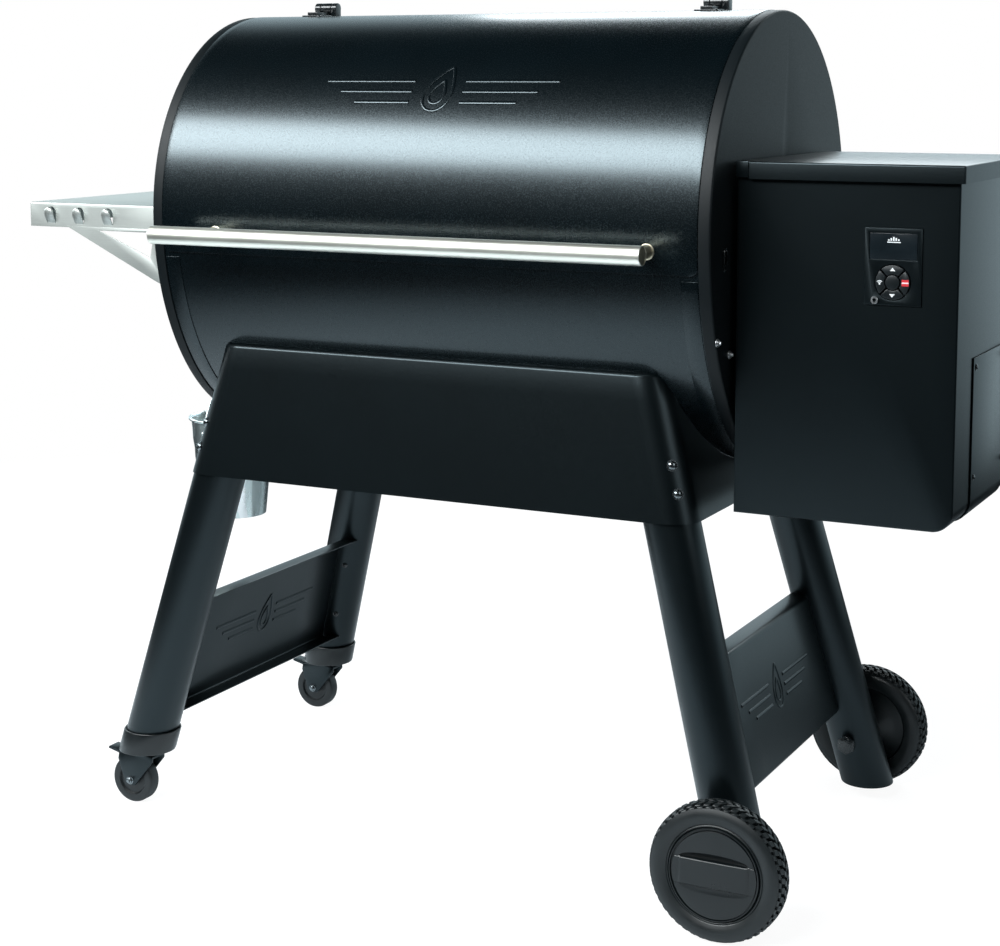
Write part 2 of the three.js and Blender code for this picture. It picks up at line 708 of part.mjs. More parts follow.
/** One quarter of the ring of buttons, centred on an angle. */
function quadrantOutline(angle) {
    const { inner, outer, gap } = padSlots;
    const start = angle - Math.PI / 4;
    const end = angle + Math.PI / 4;
    const outline = new THREE.Shape();
    outline.absarc(controls.x, controls.z, outer, start + gap / outer, end - gap / outer);
    outline.absarc(controls.x, controls.z, inner, end - gap / inner, start + gap / inner, true);
    return outline;
}

function buildControlPanel() {
    const { x, z, padRadius, faceY } = controls;
    const backY = -182;
    const plate = block([598, 670], [faceY, backY], [797, 892]);
    const pocket = rod(padRadius, [x, faceY - 5, z], [x, faceY + 6.5, z], 32);
    const lensPocket = block(
        [display.leftX, display.rightX],
        [faceY - 1, faceY + 2],
        [display.bottomZ, display.topZ],
    );
    const [jackX, jackZ] = [612, 803];
    const jackBody = rod(4.8, [jackX, faceY - 1.4, jackZ], [jackX, faceY + 3, jackZ], 16);
    const jackBore = rod(1.8, [jackX, faceY - 5, jackZ], [jackX, faceY + 14, jackZ], 10);
    const panel = joined(plate.subtract(pocket).subtract(lensPocket), jackBody).subtract(jackBore);
    addPiece('control_panel', panel, blackPlastic);

    const lens = block(
        [display.leftX + seamGap, display.rightX - seamGap],
        [faceY + 0.2, faceY + 1.6],
        [display.bottomZ + seamGap, display.topZ - seamGap],
    );
    addPiece('display_lens', lens, smokedLens);
}

function buildButtons() {
    const { x, z, faceY } = controls;
    const depth = [faceY - 1.6, faceY + 3.2];
    const quadrants = { right: 0, up: 1, left: 2, down: 3 };
    for (const [name, quarter] of Object.entries(quadrants)) {
        const outline = quadrantOutline((quarter * Math.PI) / 2);
        addPiece(`button_${name}`, alongY(outline, depth, 5), buttonPlastic);
    }
    addPiece('button_centre', rod(9, [x, depth[0] - 0.6, z], [x, depth[1], z], 24), buttonPlastic);
}

const powerInlet = { axisZ: 600, bladeX: [578, 584, 590] };

function buildPowerInlet() {
    const backY = hopper.backY;
    const z = powerInlet.axisZ;
    const body = block([566, 624], [backY - 22, backY + 2], [z - 24, z + 24]);
    const socket = block([571, 597], [backY - 16, backY + 5], [z - 11, z + 11]);
    const blades = powerInlet.bladeX.map((x) => {
        return block([x - 0.8, x + 0.8], [backY - 18, backY - 4], [z - 3, z + 3]);
    });
    const rockerWell = block([602, 619], [backY - 9, backY + 5], [z - 14, z + 14]);
    const rockerPin = rod(1.5, [601, backY - 1.5, z], [620, backY - 1.5, z], 8);
    const inlet = joined(body.subtract(socket).subtract(rockerWell), ...blades, rockerPin);
    addPiece('power_inlet', inlet, blackPlastic);
}

/** Rocker that tips 8 degrees each side of level. At rest its lower half is pressed in. */
function buildPowerSwitch() {
    const backY = hopper.backY;
    const axis = [backY - 1.5, powerInlet.axisZ];
    const outline = polygon([
        [axis[0] - 3.5, axis[1] - 7],
        [axis[0] + 2.2, axis[1] - 12.4],
        [axis[0] + 3, axis[1]],
        [axis[0] + 5.4, axis[1] + 12.2],
        [axis[0] - 3.5, axis[1] + 7],
    ]);
    const bore = rod(1.9, [590, axis[0], axis[1]], [630, axis[0], axis[1]], 8);
    addPiece('power_switch', alongX(outline, [602.5, 618.5]).subtract(bore), buttonPlastic);
}

// ---------------------------------------------------------------- pellet feed and fire

function buildAugerTube() {
    const { tubeRadius, z } = auger;
    const [leftX, rightX] = [66, 655];
    const tube = rod(tubeRadius, [leftX, 0, z], [rightX, 0, z], 24);
    const bore = rod(tubeRadius - 3, [leftX - 5, 0, z], [rightX + 5, 0, z], 24);
    const inlet = block([520, 620], [-18, 18], [z, z + 40]);
    addPiece('auger_tube', tube.subtract(bore).subtract(inlet), aluminised);
}

/** Feed screw: a shaft with one helical flight, made by twisting a straight fin. */
function buildAugerScrew() {
    const { screwRadius, shaftRadius, pitch, z } = auger;
    const [leftX, rightX] = [72, 640];
    const finHalfAngle = 0.24;
    const stepsPerTurn = 9;
    const outline = new THREE.Shape();
    outline.absarc(0, 0, shaftRadius, finHalfAngle * 2, 2 * Math.PI - finHalfAngle * 2);
    outline.absarc(0, 0, screwRadius, -finHalfAngle, finHalfAngle);
    const length = rightX - leftX;
    const steps = Math.round((length / pitch) * stepsPerTurn);
    const geometry = new THREE.ExtrudeGeometry(outline, {
        depth: length,
        steps,
        bevelEnabled: false,
        curveSegments: 2,
    });
    const corners = geometry.attributes.position;
    for (let i = 0; i < corners.count; i++) {
        const along = corners.getZ(i);
        const turn = (along / pitch) * 2 * Math.PI;
        const u = corners.getX(i);
        const v = corners.getY(i);
        const y = u * Math.cos(turn) - v * Math.sin(turn);
        const up = u * Math.sin(turn) + v * Math.cos(turn);
        corners.setXYZ(i, leftX + along, y, z + up);
    }
    const shaftEnd = rod(5, [rightX - 5, 0, z], [659, 0, z], 12);
    addPiece('auger_screw', solidFrom(geometry).add(shaftEnd), zinc);
}

function buildAugerMotor() {
    const { z } = auger;
    const flangeHalf = 36;
    const gearboxHalf = 30;
    const flange = block([655.4, 660], [-flangeHalf, flangeHalf], [z - flangeHalf, z + flangeHalf]);
    const gearbox = block([659, 682], [-gearboxHalf, gearboxHalf], [z - gearboxHalf, z + gearboxHalf]);
    const motor = rod(22, [681, 0, z], [705, 0, z], 20);
    const shaftBore = rod(5.4, [650, 0, z], [663, 0, z], 12);
    addPiece('auger_motor', joined(flange, gearbox, motor).subtract(shaftBore), zinc);
}

const fan = { x: 515, baseZ: 521.4, height: 26, radius: 41 };

function buildFan() {
    const { x, baseZ, height, radius } = fan;
    const frame = block([x - 46, x + 46], [-46, 46], [baseZ, baseZ + height]);
    const throat = rod(radius, [x, 0, baseZ - 5], [x, 0, baseZ + height + 5], 28);
    const strut = block([x - 45, x + 45], [-3, 3], [baseZ + height - 4, baseZ + height]);
    const hubSeat = rod(14, [x, 0, baseZ + height - 6], [x, 0, baseZ + height], 20);
    const spindle = rod(2, [x, 0, baseZ + 6], [x, 0, baseZ + height - 2], 8);
    addPiece('fan_frame', joined(frame.subtract(throat), strut, hubSeat, spindle), blackPlastic);

    const hub = rod(13, [x, 0, baseZ + 2], [x, 0, baseZ + height - 7], 20);
    const blades = [];
    for (let i = 0; i < 7; i++) {
        const geometry = new THREE.BoxGeometry(28, 2, 15);
        geometry.rotateX(0.6);
        geometry.translate(24, 0, 0);
        geometry.rotateZ((i / 7) * 2 * Math.PI);
        geometry.translate(x, 0, baseZ + 10.5);
        blades.push(solidFrom(geometry));
    }
    const bore = rod(2.4, [x, 0, baseZ - 5], [x, 0, baseZ + height], 8);
    addPiece('fan_rotor', joined(hub, ...blades).subtract(bore), blackPlastic);
}

function buildFirePot() {
    const { radius, bottomZ, topZ } = firePot;
    const wall = 3;
    const cupSection = [
        [0, bottomZ],
        [radius, bottomZ],
        [radius, topZ],
        [radius - wall, topZ],
        [radius - wall, bottomZ + wall],
        [0, bottomZ + wall],
    ];
    const cup = turned(cupSection, 20);
    const insideBarrel = barrelSolid(-barrel.wall - seamGap, 100);
    const foot = rod(30, [0, 0, 545], [0, 0, bottomZ + 1], 16).intersect(insideBarrel);
    const airHoleZ = 600;
    const airHoles = [];
    for (let i = 0; i < 5; i++) {
        const angle = ((i + 1) / 6) * 2 * Math.PI;
        const end = [90 * Math.cos(angle), 90 * Math.sin(angle), airHoleZ];
        airHoles.push(rod(5, [0, 0, airHoleZ], end, 6));
    }
    const pelletMouth = rod(auger.tubeRadius - 4, [30, 0, auger.z], [90, 0, auger.z], 16);
    const igniter = rod(5, [38, 0, 580], [150, 0, 580], 10);
    addPiece('fire_pot', joined(cup, foot).subtract(joined(...airHoles, pelletMouth)).add(igniter), castIron);
}

// ---------------------------------------------------------------- cooking surfaces

/** Bent sheet over the fire pot, standing on the barrel's floor. */
function buildHeatBaffle() {
    const sheet = polygon([
        [-172, 560],
        [-172, 692],
        [0, 712],
        [172, 692],
        [172, 560],
        [170, 560],
        [170, 690],
        [0, 710],
        [-170, 690],
        [-170, 560],
    ]);
    const standing = alongX(sheet, [-300, 300]).intersect(barrelSolid(-barrel.wall - seamGap, 400));
    addPiece('heat_baffle', standing, castIron);
}

/** Shallow tray with turned-up front and back lips, resting on the lower ledges. */
function buildDripTray() {
    const z = 725 + seamGap;
    const sheet = polygon([
        [-226, z],
        [226, z],
        [230, z + 14],
        [228, z + 14],
        [224.4, z + 2],
        [-224.4, z + 2],
        [-228, z + 14],
        [-230, z + 14],
    ]);
    const dam = block([376, 378], [-224, 224], [z + 1, z + 14]);
    addPiece('drip_tray', joined(alongX(sheet, [-378, 378]), dam), porcelain);
}

/** A welded grate: a square-bar frame, cross bars and evenly spaced rods. */
function grate([x0, x1], [y0, y1], z, count) {
    const bar = 6;
    const bars = [
        block([x0, x1], [y0, y0 + bar], [z, z + bar]),
        block([x0, x1], [y1 - bar, y1], [z, z + bar]),
        block([x0, x1], [(y0 + y1 - bar) / 2, (y0 + y1 + bar) / 2], [z, z + bar]),
    ];
    const pitch = (x1 - x0 - bar) / (count - 1);
    for (let i = 0; i < count; i++) {
        const x = x0 + i * pitch;
        bars.push(block([x, x + bar], [y0, y1], [z + 2, z + bar]));
    }
    return joined(...bars);
}

function buildGrates() {
    addPiece('grill_grate', grate([-388, 388], [-258, 258], grateZ, 19), porcelain);
    addPiece('upper_rack', grate([-388, 388], [-36, 186], rackZ - 3.6, 15), stainless);
}

// ---------------------------------------------------------------- shelf and bucket

/** Triangular bracket in the plane of a fascia, with a triangular window. */
function shelfBracket([y0, y1]) {
    const wallX = -barrel.halfLength - seamGap;
    const z = shelf.topZ - shelf.fascia;
    const outline = polygon([[shelf.leftX + 68, z + 1], [-444, z - 77], [wallX, z - 85], [wallX, z + 1]]);
    const window = polygon([[-549, z - 2], [-457, z - 38], [-450, z - 3]]);
    outline.holes.push(new THREE.Path(window.getPoints()));
    return alongY(outline, [y0, y1]);
}

/** Folded sheet shelf with a fascia on three sides and a bracket under each end. */
function buildSideShelf() {
    const { leftX, topZ, halfDepth, fascia, sheet } = shelf;
    const rightX = -barrel.halfLength - seamGap;
    const body = block([leftX, rightX], [-halfDepth, halfDepth], [topZ - fascia, topZ]);
    const under = block(
        [leftX + sheet, rightX + 1],
        [-halfDepth + sheet, halfDepth - sheet],
        [topZ - fascia - 1, topZ - sheet],
    );
    const brackets = [
        shelfBracket([-halfDepth, -halfDepth + sheet]),
        shelfBracket([halfDepth - sheet, halfDepth]),
    ];
    addPiece('side_shelf', joined(body.subtract(under), ...brackets), stainless);
}

function buildBucket() {
    const { x, rimZ, bottomZ, rimRadius, footRadius, wall, earZ } = bucket;
    const pail = turned(
        [
            [0, bottomZ],
            [footRadius, bottomZ],
            [rimRadius - 3, rimZ - 5],
            [rimRadius, rimZ - 4],
            [rimRadius, rimZ],
            [rimRadius - 3 - wall, rimZ],
            [footRadius - wall, bottomZ + wall],
            [0, bottomZ + wall],
        ],
        28,
    ).translate([x, 0, 0]);
    const ears = [-1, 1].map((side) => {
        const ear = rod(6, [x, side * 64.5, earZ], [x, side * 71.5, earZ], 12);
        return ear.subtract(rod(2.3, [x, side * 67.5, earZ], [x, side * 75, earZ], 8));
    });
    addPiece('grease_bucket', joined(pail, ...ears), galvanised);
}

/** Half-round wire bail with a short pin turned into each ear. */
function buildBail() {
    const { x, earZ } = bucket;
    const { reach, wireRadius } = bail;
    const points = [];
    for (let i = 0; i <= 20; i++) {
        const angle = (i / 20) * Math.PI;
        points.push(new THREE.Vector3(x, reach * Math.cos(angle), earZ + reach * Math.sin(angle)));
    }
    const wire = new THREE.Shape();
    wire.absarc(0, 0, wireRadius, 0, 2 * Math.PI);
    const hoop = new THREE.ExtrudeGeometry(wire, {
        extrudePath: new THREE.CatmullRomCurve3(points),
        steps: 16,
        curveSegments: 3,
        bevelEnabled: false,
    });
    const pins = [-1, 1].map((side) => rod(wireRadius, [x, side * 68.2, earZ], [x, side * 77, earZ], 8));
    addPiece('bucket_bail', joined(solidFrom(hoop), ...pins), galvanised);
}

// ---------------------------------------------------------------- assembly

buildBarrelShell();
buildExhaustHood();
buildEndCaps();
buildLid();
buildLidHinges();
buildHandle();
buildLegs();
buildSkirts();
buildBraces();
buildRollingGear();
buildHopperBox();
buildHopperLid();
buildHopperBin();
buildHopperHatch();
buildControlPanel();
buildButtons();
buildPowerInlet();
buildPowerSwitch();
buildAugerTube();
buildAugerScrew();
buildAugerMotor();
buildFan();
buildFirePot();
buildHeatBaffle();
buildDripTray();
buildGrates();
buildSideShelf();
buildBucket();
buildBail();

// The origin is under the middle of the whole object, from the shelf's edge to the hopper lid's edge.
grill.position.x = -(shelf.leftX + hopperLid.rightX) / 2;

export default grill;
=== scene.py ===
"""The looks of a pellet smoker grill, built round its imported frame.

Shapes are worked out in millimetres, in the frame's own axes, and become metres when a piece is made.
"""
import json
import math

import bmesh
import bpy
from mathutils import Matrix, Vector


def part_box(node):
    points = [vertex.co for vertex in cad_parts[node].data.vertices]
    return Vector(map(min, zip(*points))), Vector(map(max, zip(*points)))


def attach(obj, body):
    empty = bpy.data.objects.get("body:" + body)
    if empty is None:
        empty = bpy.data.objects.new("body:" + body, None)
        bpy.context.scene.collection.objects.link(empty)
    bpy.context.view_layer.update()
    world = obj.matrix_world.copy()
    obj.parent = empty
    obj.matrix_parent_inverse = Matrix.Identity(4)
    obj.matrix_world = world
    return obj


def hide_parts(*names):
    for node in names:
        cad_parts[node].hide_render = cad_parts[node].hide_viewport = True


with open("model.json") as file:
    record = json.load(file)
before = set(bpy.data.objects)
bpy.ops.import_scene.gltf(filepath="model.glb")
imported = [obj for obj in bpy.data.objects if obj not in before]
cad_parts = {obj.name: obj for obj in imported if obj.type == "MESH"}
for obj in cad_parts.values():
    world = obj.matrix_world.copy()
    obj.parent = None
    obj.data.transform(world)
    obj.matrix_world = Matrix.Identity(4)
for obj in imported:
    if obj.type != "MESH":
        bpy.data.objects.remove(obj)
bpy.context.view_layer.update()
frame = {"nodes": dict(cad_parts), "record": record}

MM = 0.001
RECORD = frame["record"]
BODY_OF = {node: body for body, nodes in RECORD["behaviour"]["bodies"].items() for node in nodes}
SLOT_OF = {part["node"]: part["material_slot"] for part in RECORD["subparts"]}


def span(node):
    """A CAD node's lowest and highest corners, in millimetres."""
    low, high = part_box(node)
    return low / MM, high / MM


def centre_of(node):
    low, high = span(node)
    return (low + high) / 2


# ---------------------------------------------------------------- sizes taken from the frame

CAP_LOW, CAP_HIGH = span("end_cap_right")
LID_LOW, LID_HIGH = span("lid_shell")

MID_X = centre_of("lid_shell").x  # the middle of the barrel's length
AXIS_Z = 879.0  # height at which the barrel is widest
CAP_GROW = 2.0  # how far an end cap's flange stands out from the barrel
HALF_DEPTH = CAP_HIGH.y - CAP_GROW
RISE = CAP_HIGH.z - CAP_GROW - AXIS_Z
DROP = AXIS_Z - CAP_LOW.z - CAP_GROW
END_X = CAP_HIGH.x - MID_X
SHELL_END_X = 405.9
SHEET = 2.0
SEAM = 0.4  # the gap that neighbouring sheets keep
LID_GROW = LID_HIGH.z - AXIS_Z - RISE
LID_FRONT_Z = LID_LOW.z
LID_REAR_Y = LID_HIGH.y
LID_END_X = (LID_HIGH.x - LID_LOW.x) / 2
LID_OVERLAP = 9.0
LEDGES = ((214, 722, 725), (246, 832.5, 836))  # (inner edge's depth, underside, top) of each support
LEDGE_HALF = 385.0

LEG_X, LEG_Y, LEG_DATUM_Z = 352.0, 215.5, 506.0
LEG_SPLAY_X, LEG_SPLAY_Y = 0.268, 0.093
LEG_RADIUS, LEG_WALL, LEG_TOP_Z = 37.2, 1.8, 660.0
SKIRT_RADIUS, SKIRT_SHEET = 40.8, 1.5

SIDES = ((-1, "left"), (1, "right"))
FACES = ((-1, "front"), (1, "back"))


# ---------------------------------------------------------------- materials


class Nodes:
    """A small helper round one material's node tree."""

    def __init__(self, name):
        self.material = bpy.data.materials.new(name)
        self.material.use_nodes = True
        self.tree = self.material.node_tree
        self.shader = self.tree.nodes["Principled BSDF"]
        self.place = self.tree.nodes.new("ShaderNodeTexCoord").outputs["Object"]

    def link(self, output, target):
        self.tree.links.new(output, target)

    def stretched(self, scale):
        """Object coordinates scaled along each axis."""
        node = self.tree.nodes.new("ShaderNodeMapping")
        node.inputs["Scale"].default_value = scale
        self.link(self.place, node.inputs["Vector"])
        return node.outputs["Vector"]

    def noise(self, scale, detail=3.0, stretch=(1, 1, 1)):
        node = self.tree.nodes.new("ShaderNodeTexNoise")
        node.inputs["Scale"].default_value = scale
        node.inputs["Detail"].default_value = detail
        self.link(self.stretched(stretch), node.inputs["Vector"])
        return node.outputs["Fac"]

    def cells(self, scale, stretch=(1, 1, 1)):
        """A random shade for each Voronoi cell."""
        node = self.tree.nodes.new("ShaderNodeTexVoronoi")
        node.inputs["Scale"].default_value = scale
        self.link(self.stretched(stretch), node.inputs["Vector"])
        split = self.tree.nodes.new("ShaderNodeSeparateColor")
        self.link(node.outputs["Color"], split.inputs["Color"])
        return split.outputs["Red"]

    def spread(self, value, low, high, from_low=0.3, from_high=0.7):
        """Maps a 0 to 1 pattern on to a range of numbers."""
        node = self.tree.nodes.new("ShaderNodeMapRange")
        node.inputs["From Min"].default_value = from_low
        node.inputs["From Max"].default_value = from_high
        node.inputs["To Min"].default_value = low
        node.inputs["To Max"].default_value = high
        self.link(value, node.inputs["Value"])
        return node.outputs["Result"]

    def shades(self, value, dark, light, low=0.3, high=0.7):
        """Maps a 0 to 1 pattern on to a run between two colours."""
        node = self.tree.nodes.new("ShaderNodeValToRGB")
        node.color_ramp.elements[0].position = low
        node.color_ramp.elements[0].color = (*dark, 1)
        node.color_ramp.elements[1].position = high
        node.color_ramp.elements[1].color = (*light, 1)
        self.link(value, node.inputs["Fac"])
        return node.outputs["Color"]

    def bumps(self, *layers):
        """Stacks (pattern, strength, distance in metres) layers of bump."""
        normal = None
        for pattern, strength, distance in layers:
            node = self.tree.nodes.new("ShaderNodeBump")
            node.inputs["Strength"].default_value = strength
            node.inputs["Distance"].default_value = distance
            self.link(pattern, node.inputs["Height"])
            if normal:
                self.link(normal, node.inputs["Normal"])
            normal = node.outputs["Normal"]
        self.link(normal, self.shader.inputs["Normal"])


def tinted(color, factor):
    return tuple(channel * factor for channel in color)


def coated_metal(name, color, roughness, grain, depth, mottle=0.15, coat=0.0, shine=0.5, tint=(1, 1, 1)):
    """Painted steel: a fine powder-coat grain over a faint, slower waviness."""
    nodes = Nodes(name)
    slow = nodes.noise(9, 2)
    fine = nodes.noise(grain, 2)
    nodes.link(nodes.shades(slow, tinted(color, 1 - mottle), tinted(color, 1 + mottle)),
               nodes.shader.inputs["Base Color"])
    nodes.link(nodes.spread(fine, roughness - 0.05, roughness + 0.05), nodes.shader.inputs["Roughness"])
    nodes.shader.inputs["Coat Weight"].default_value = coat
    nodes.shader.inputs["Coat Roughness"].default_value = 0.18
    nodes.shader.inputs["Specular IOR Level"].default_value = shine
    nodes.shader.inputs["Specular Tint"].default_value = (*tint, 1)
    nodes.bumps((nodes.noise(70, 1), 0.05, 0.0003), (fine, 0.35, depth))
    return nodes.material


def brushed_metal(name, color, roughness, along, depth=0.00006, mottle=0.08):
    """Bare metal with brush lines along an axis. along is the stretch of the pattern on each axis."""
    nodes = Nodes(name)
    lines = nodes.noise(1, 4, along)
    cloud = nodes.noise(14, 3)
    nodes.link(nodes.shades(lines, tinted(color, 1 - mottle), tinted(color, 1 + mottle)),
               nodes.shader.inputs["Base Color"])
    nodes.link(nodes.spread(cloud, roughness - 0.02, roughness + 0.03), nodes.shader.inputs["Roughness"])
    nodes.shader.inputs["Metallic"].default_value = 1.0
    nodes.bumps((lines, 0.4, depth))
    return nodes.material


def spangled_metal(name, color, roughness, cell_scale, streaks):
    """Galvanised or aluminised sheet: crystal cells, drawn out by forming, under a soft cloud."""
    nodes = Nodes(name)
    spangle = nodes.cells(cell_scale, streaks)
    cloud = nodes.noise(30, 4, streaks)
    nodes.link(nodes.shades(spangle, tinted(color, 0.72), tinted(color, 1.2), 0.0, 1.0),
               nodes.shader.inputs["Base Color"])
    nodes.link(nodes.spread(cloud, roughness - 0.1, roughness + 0.12), nodes.shader.inputs["Roughness"])
    nodes.shader.inputs["Metallic"].default_value = 1.0
    nodes.bumps((cloud, 0.25, 0.0006), (spangle, 0.12, 0.0002))
    return nodes.material


def moulded(name, color, roughness, grain, depth, coat=0.0, mottle=0.2):
    """Plastic or rubber with a moulded grain and slightly worn patches."""
    nodes = Nodes(name)
    wear = nodes.noise(22, 5)
    fine = nodes.noise(grain, 3)
    nodes.link(nodes.shades(wear, tinted(color, 1 - mottle), tinted(color, 1 + mottle)),
               nodes.shader.inputs["Base Color"])
    nodes.link(nodes.spread(wear, roughness - 0.07, roughness + 0.07), nodes.shader.inputs["Roughness"])
    nodes.shader.inputs["Coat Weight"].default_value = coat
    nodes.bumps((fine, 0.4, depth))
    return nodes.material


def rough_iron(name, color):
    """Heat-darkened iron: cast grain, brown scale and paler worn patches."""
    nodes = Nodes(name)
    scale = nodes.noise(45, 8)
    fine = nodes.noise(420, 4)
    nodes.link(nodes.shades(scale, tinted(color, 0.5), (color[0] * 1.9, color[1] * 1.5, color[2] * 1.3)),
               nodes.shader.inputs["Base Color"])
    nodes.link(nodes.spread(scale, 0.62, 0.85), nodes.shader.inputs["Roughness"])
    nodes.shader.inputs["Metallic"].default_value = 0.5
    nodes.bumps((scale, 0.4, 0.0008), (fine, 0.5, 0.0003))
    return nodes.material


def ink(name, color, roughness=0.5):
    """A printed mark: an even colour broken up by the print's fine grain."""
    nodes = Nodes(name)
    fine = nodes.noise(900, 2)
    nodes.link(nodes.shades(fine, tinted(color, 0.86), color), nodes.shader.inputs["Base Color"])
    nodes.link(nodes.spread(fine, roughness - 0.06, roughness + 0.06), nodes.shader.inputs["Roughness"])
    return nodes.material


LOOKS = {
    "gloss_powder_coat": coated_metal(
        "gloss_powder_coat", (0.0007, 0.0024, 0.0034), 0.255, 620, 0.00008,
        shine=0.6, tint=(0.80, 0.94, 1.0)),
    "satin_black": coated_metal(
        "satin_black", (0.0009, 0.0020, 0.0025), 0.33, 900, 0.00006, shine=0.42, tint=(0.76, 0.93, 1.0)),
    "stainless": brushed_metal("stainless", (0.66, 0.69, 0.66), 0.5, (12, 1500, 1500), 0.00001, 0.04),
    "warm_stainless": brushed_metal(
        "warm_stainless", (0.97, 0.96, 0.87), 0.40, (8, 1200, 1200), 0.00001, 0.05),
    "brass_tone": brushed_metal("brass_tone", (0.60, 0.55, 0.42), 0.4, (300, 300, 300), 0.00002),
    "galvanised": spangled_metal("galvanised", (0.88, 0.98, 0.97), 0.34, 60, (1, 1, 0.25)),
    "aluminised": spangled_metal("aluminised", (0.50, 0.51, 0.50), 0.42, 45, (1, 1, 1)),
    "zinc_plated": brushed_metal("zinc_plated", (0.62, 0.63, 0.64), 0.32, (250, 250, 250)),
    "tyre_rubber": moulded("tyre_rubber", (0.0035, 0.0058, 0.0066), 0.42, 800, 0.0001),
    "caster_rubber": moulded("caster_rubber", (0.003, 0.0048, 0.0056), 0.45, 700, 0.0001),
    "black_plastic": moulded("black_plastic", (0.0026, 0.0044, 0.0052), 0.34, 1100, 0.00005),
    "button_plastic": moulded("button_plastic", (0.007, 0.010, 0.0115), 0.36, 900, 0.00003),
    "display_window": moulded("display_window", (0.007, 0.011, 0.014), 0.2, 200, 0.00001, coat=0.3),
    "enamel": coated_metal("enamel", (0.006, 0.007, 0.008), 0.22, 400, 0.00006, coat=0.4),
    "cast_iron": rough_iron("cast_iron", (0.050, 0.046, 0.043)),
}
MATT_BLACK = coated_metal("matt_black", (0.0022, 0.0044, 0.0056), 0.5, 700, 0.0001, shine=0.22)
BOLT_BLACK = coated_metal("bolt_black", (0.004, 0.006, 0.007), 0.28, 500, 0.00004, coat=0.3)
DARK_NICKEL = brushed_metal("dark_nickel", (0.20, 0.22, 0.23), 0.25, (300, 300, 300))
WHITE_INK = ink("white_ink", (0.85, 0.87, 0.88))
RED_INK = ink("red_ink", (0.62, 0.02, 0.03))
PINK_INK = ink("pink_ink", (0.95, 0.70, 0.72))


# ---------------------------------------------------------------- shapes


def arc(centre, radius, start, end, steps):
    """Points round an arc, from one angle in degrees to another."""
    points = []
    for i in range(steps + 1):
        angle = math.radians(start + (end - start) * i / steps)
        points.append((centre[0] + radius * math.cos(angle), centre[1] + radius * math.sin(angle)))
    return points


def rounded_rectangle(u0, u1, v0, v1, radius, steps=6):
    return (
        arc((u1 - radius, v0 + radius), radius, -90, 0, steps)
        + arc((u1 - radius, v1 - radius), radius, 0, 90, steps)
        + arc((u0 + radius, v1 - radius), radius, 90, 180, steps)
        + arc((u0 + radius, v0 + radius), radius, 180, 270, steps)
    )


def loft(bm, rings, wrap=True, loop=False, caps=True):
    """Skins rows of points. wrap closes each row on itself and loop joins the last row to the first."""
    rows = [[bm.verts.new(point) for point in ring] for ring in rings]
    pairs = list(zip(rows, rows[1:]))
    if loop:
        pairs.append((rows[-1], rows[0]))
    for low, high in pairs:
        count = len(low)
        for i in range(count if wrap else count - 1):
            j = (i + 1) % count
            bm.faces.new((low[i], low[j], high[j], high[i]))
    if caps and not loop:
        bm.faces.new(rows[0])
        bm.faces.new(rows[-1])


def sheet(bm, outer, inner, keep=lambda i, j: True, wrap=False):
    """Two matching grids of points become one rimmed sheet, open at cells where keep(i, j) is false."""
    tops = [[bm.verts.new(point) for point in row] for row in outer]
    unders = [[bm.verts.new(point) for point in row] for row in inner]
    row_count = len(tops) if wrap else len(tops) - 1
    column_count = len(tops[0]) - 1

    def kept(i, j):
        if wrap:
            i %= row_count
        return 0 <= i < row_count and 0 <= j < column_count and keep(i, j)

    for i in range(row_count):
        k = (i + 1) % len(tops)
        for j in range(column_count):
            if not kept(i, j):
                continue
            corners = ((i, j), (k, j), (k, j + 1), (i, j + 1))
            beside = ((i, j - 1), (i + 1, j), (i, j + 1), (i - 1, j))
            bm.faces.new([tops[r][c] for r, c in corners])
            bm.faces.new([unders[r][c] for r, c in reversed(corners)])
            for side, cell in enumerate(beside):
                if not kept(*cell):
                    (r0, c0), (r1, c1) = corners[side], corners[(side + 1) % 4]
                    bm.faces.new((tops[r1][c1], tops[r0][c0], unders[r0][c0], unders[r1][c1]))


OUTLINE_PLACES = {
    "x": lambda u, v, w: (w, u, v),
    "y": lambda u, v, w: (u, w, v),
    "z": lambda u, v, w: (u, v, w),
}


def prism(bm, outline, axis, low, high):
    """Extrudes an outline along an axis. The outline's own axes are the other two, in order."""
    place = OUTLINE_PLACES[axis]
    loft(bm, [[place(u, v, w) for u, v in outline] for w in (low, high)])


def block(bm, x, y, z):
    prism(bm, [(x[0], y[0]), (x[1], y[0]), (x[1], y[1]), (x[0], y[1])], "z", z[0], z[1])


def shape(make, *arguments):
    """A new bmesh holding what one of the functions above makes."""
    bm = bmesh.new()
    make(bm, *arguments)
    return bm


def turn_to(axis):
    """The rotation that lays +Z along an axis."""
    return Vector((0, 0, 1)).rotation_difference(Vector(axis)).to_matrix()


def lathe(bm, profile, centre, axis, steps=48, loop=False):
    """Turns a profile of (radius, height) points round an axis through a centre."""
    turn = turn_to(axis)
    rings = []
    for radius, height in profile:
        circle = arc((0, 0), radius, 0, 360 * (steps - 1) / steps, steps - 1)
        rings.append([Vector(centre) + turn @ Vector((u, v, height)) for u, v in circle])
    loft(bm, rings, loop=loop, caps=False)


def rod(bm, radius, start, end, steps=24):
    start, end = Vector(start), Vector(end)
    length = (end - start).length
    lathe(bm, [(0, 0), (radius, 0), (radius, length), (0, length)], start, end - start, steps)


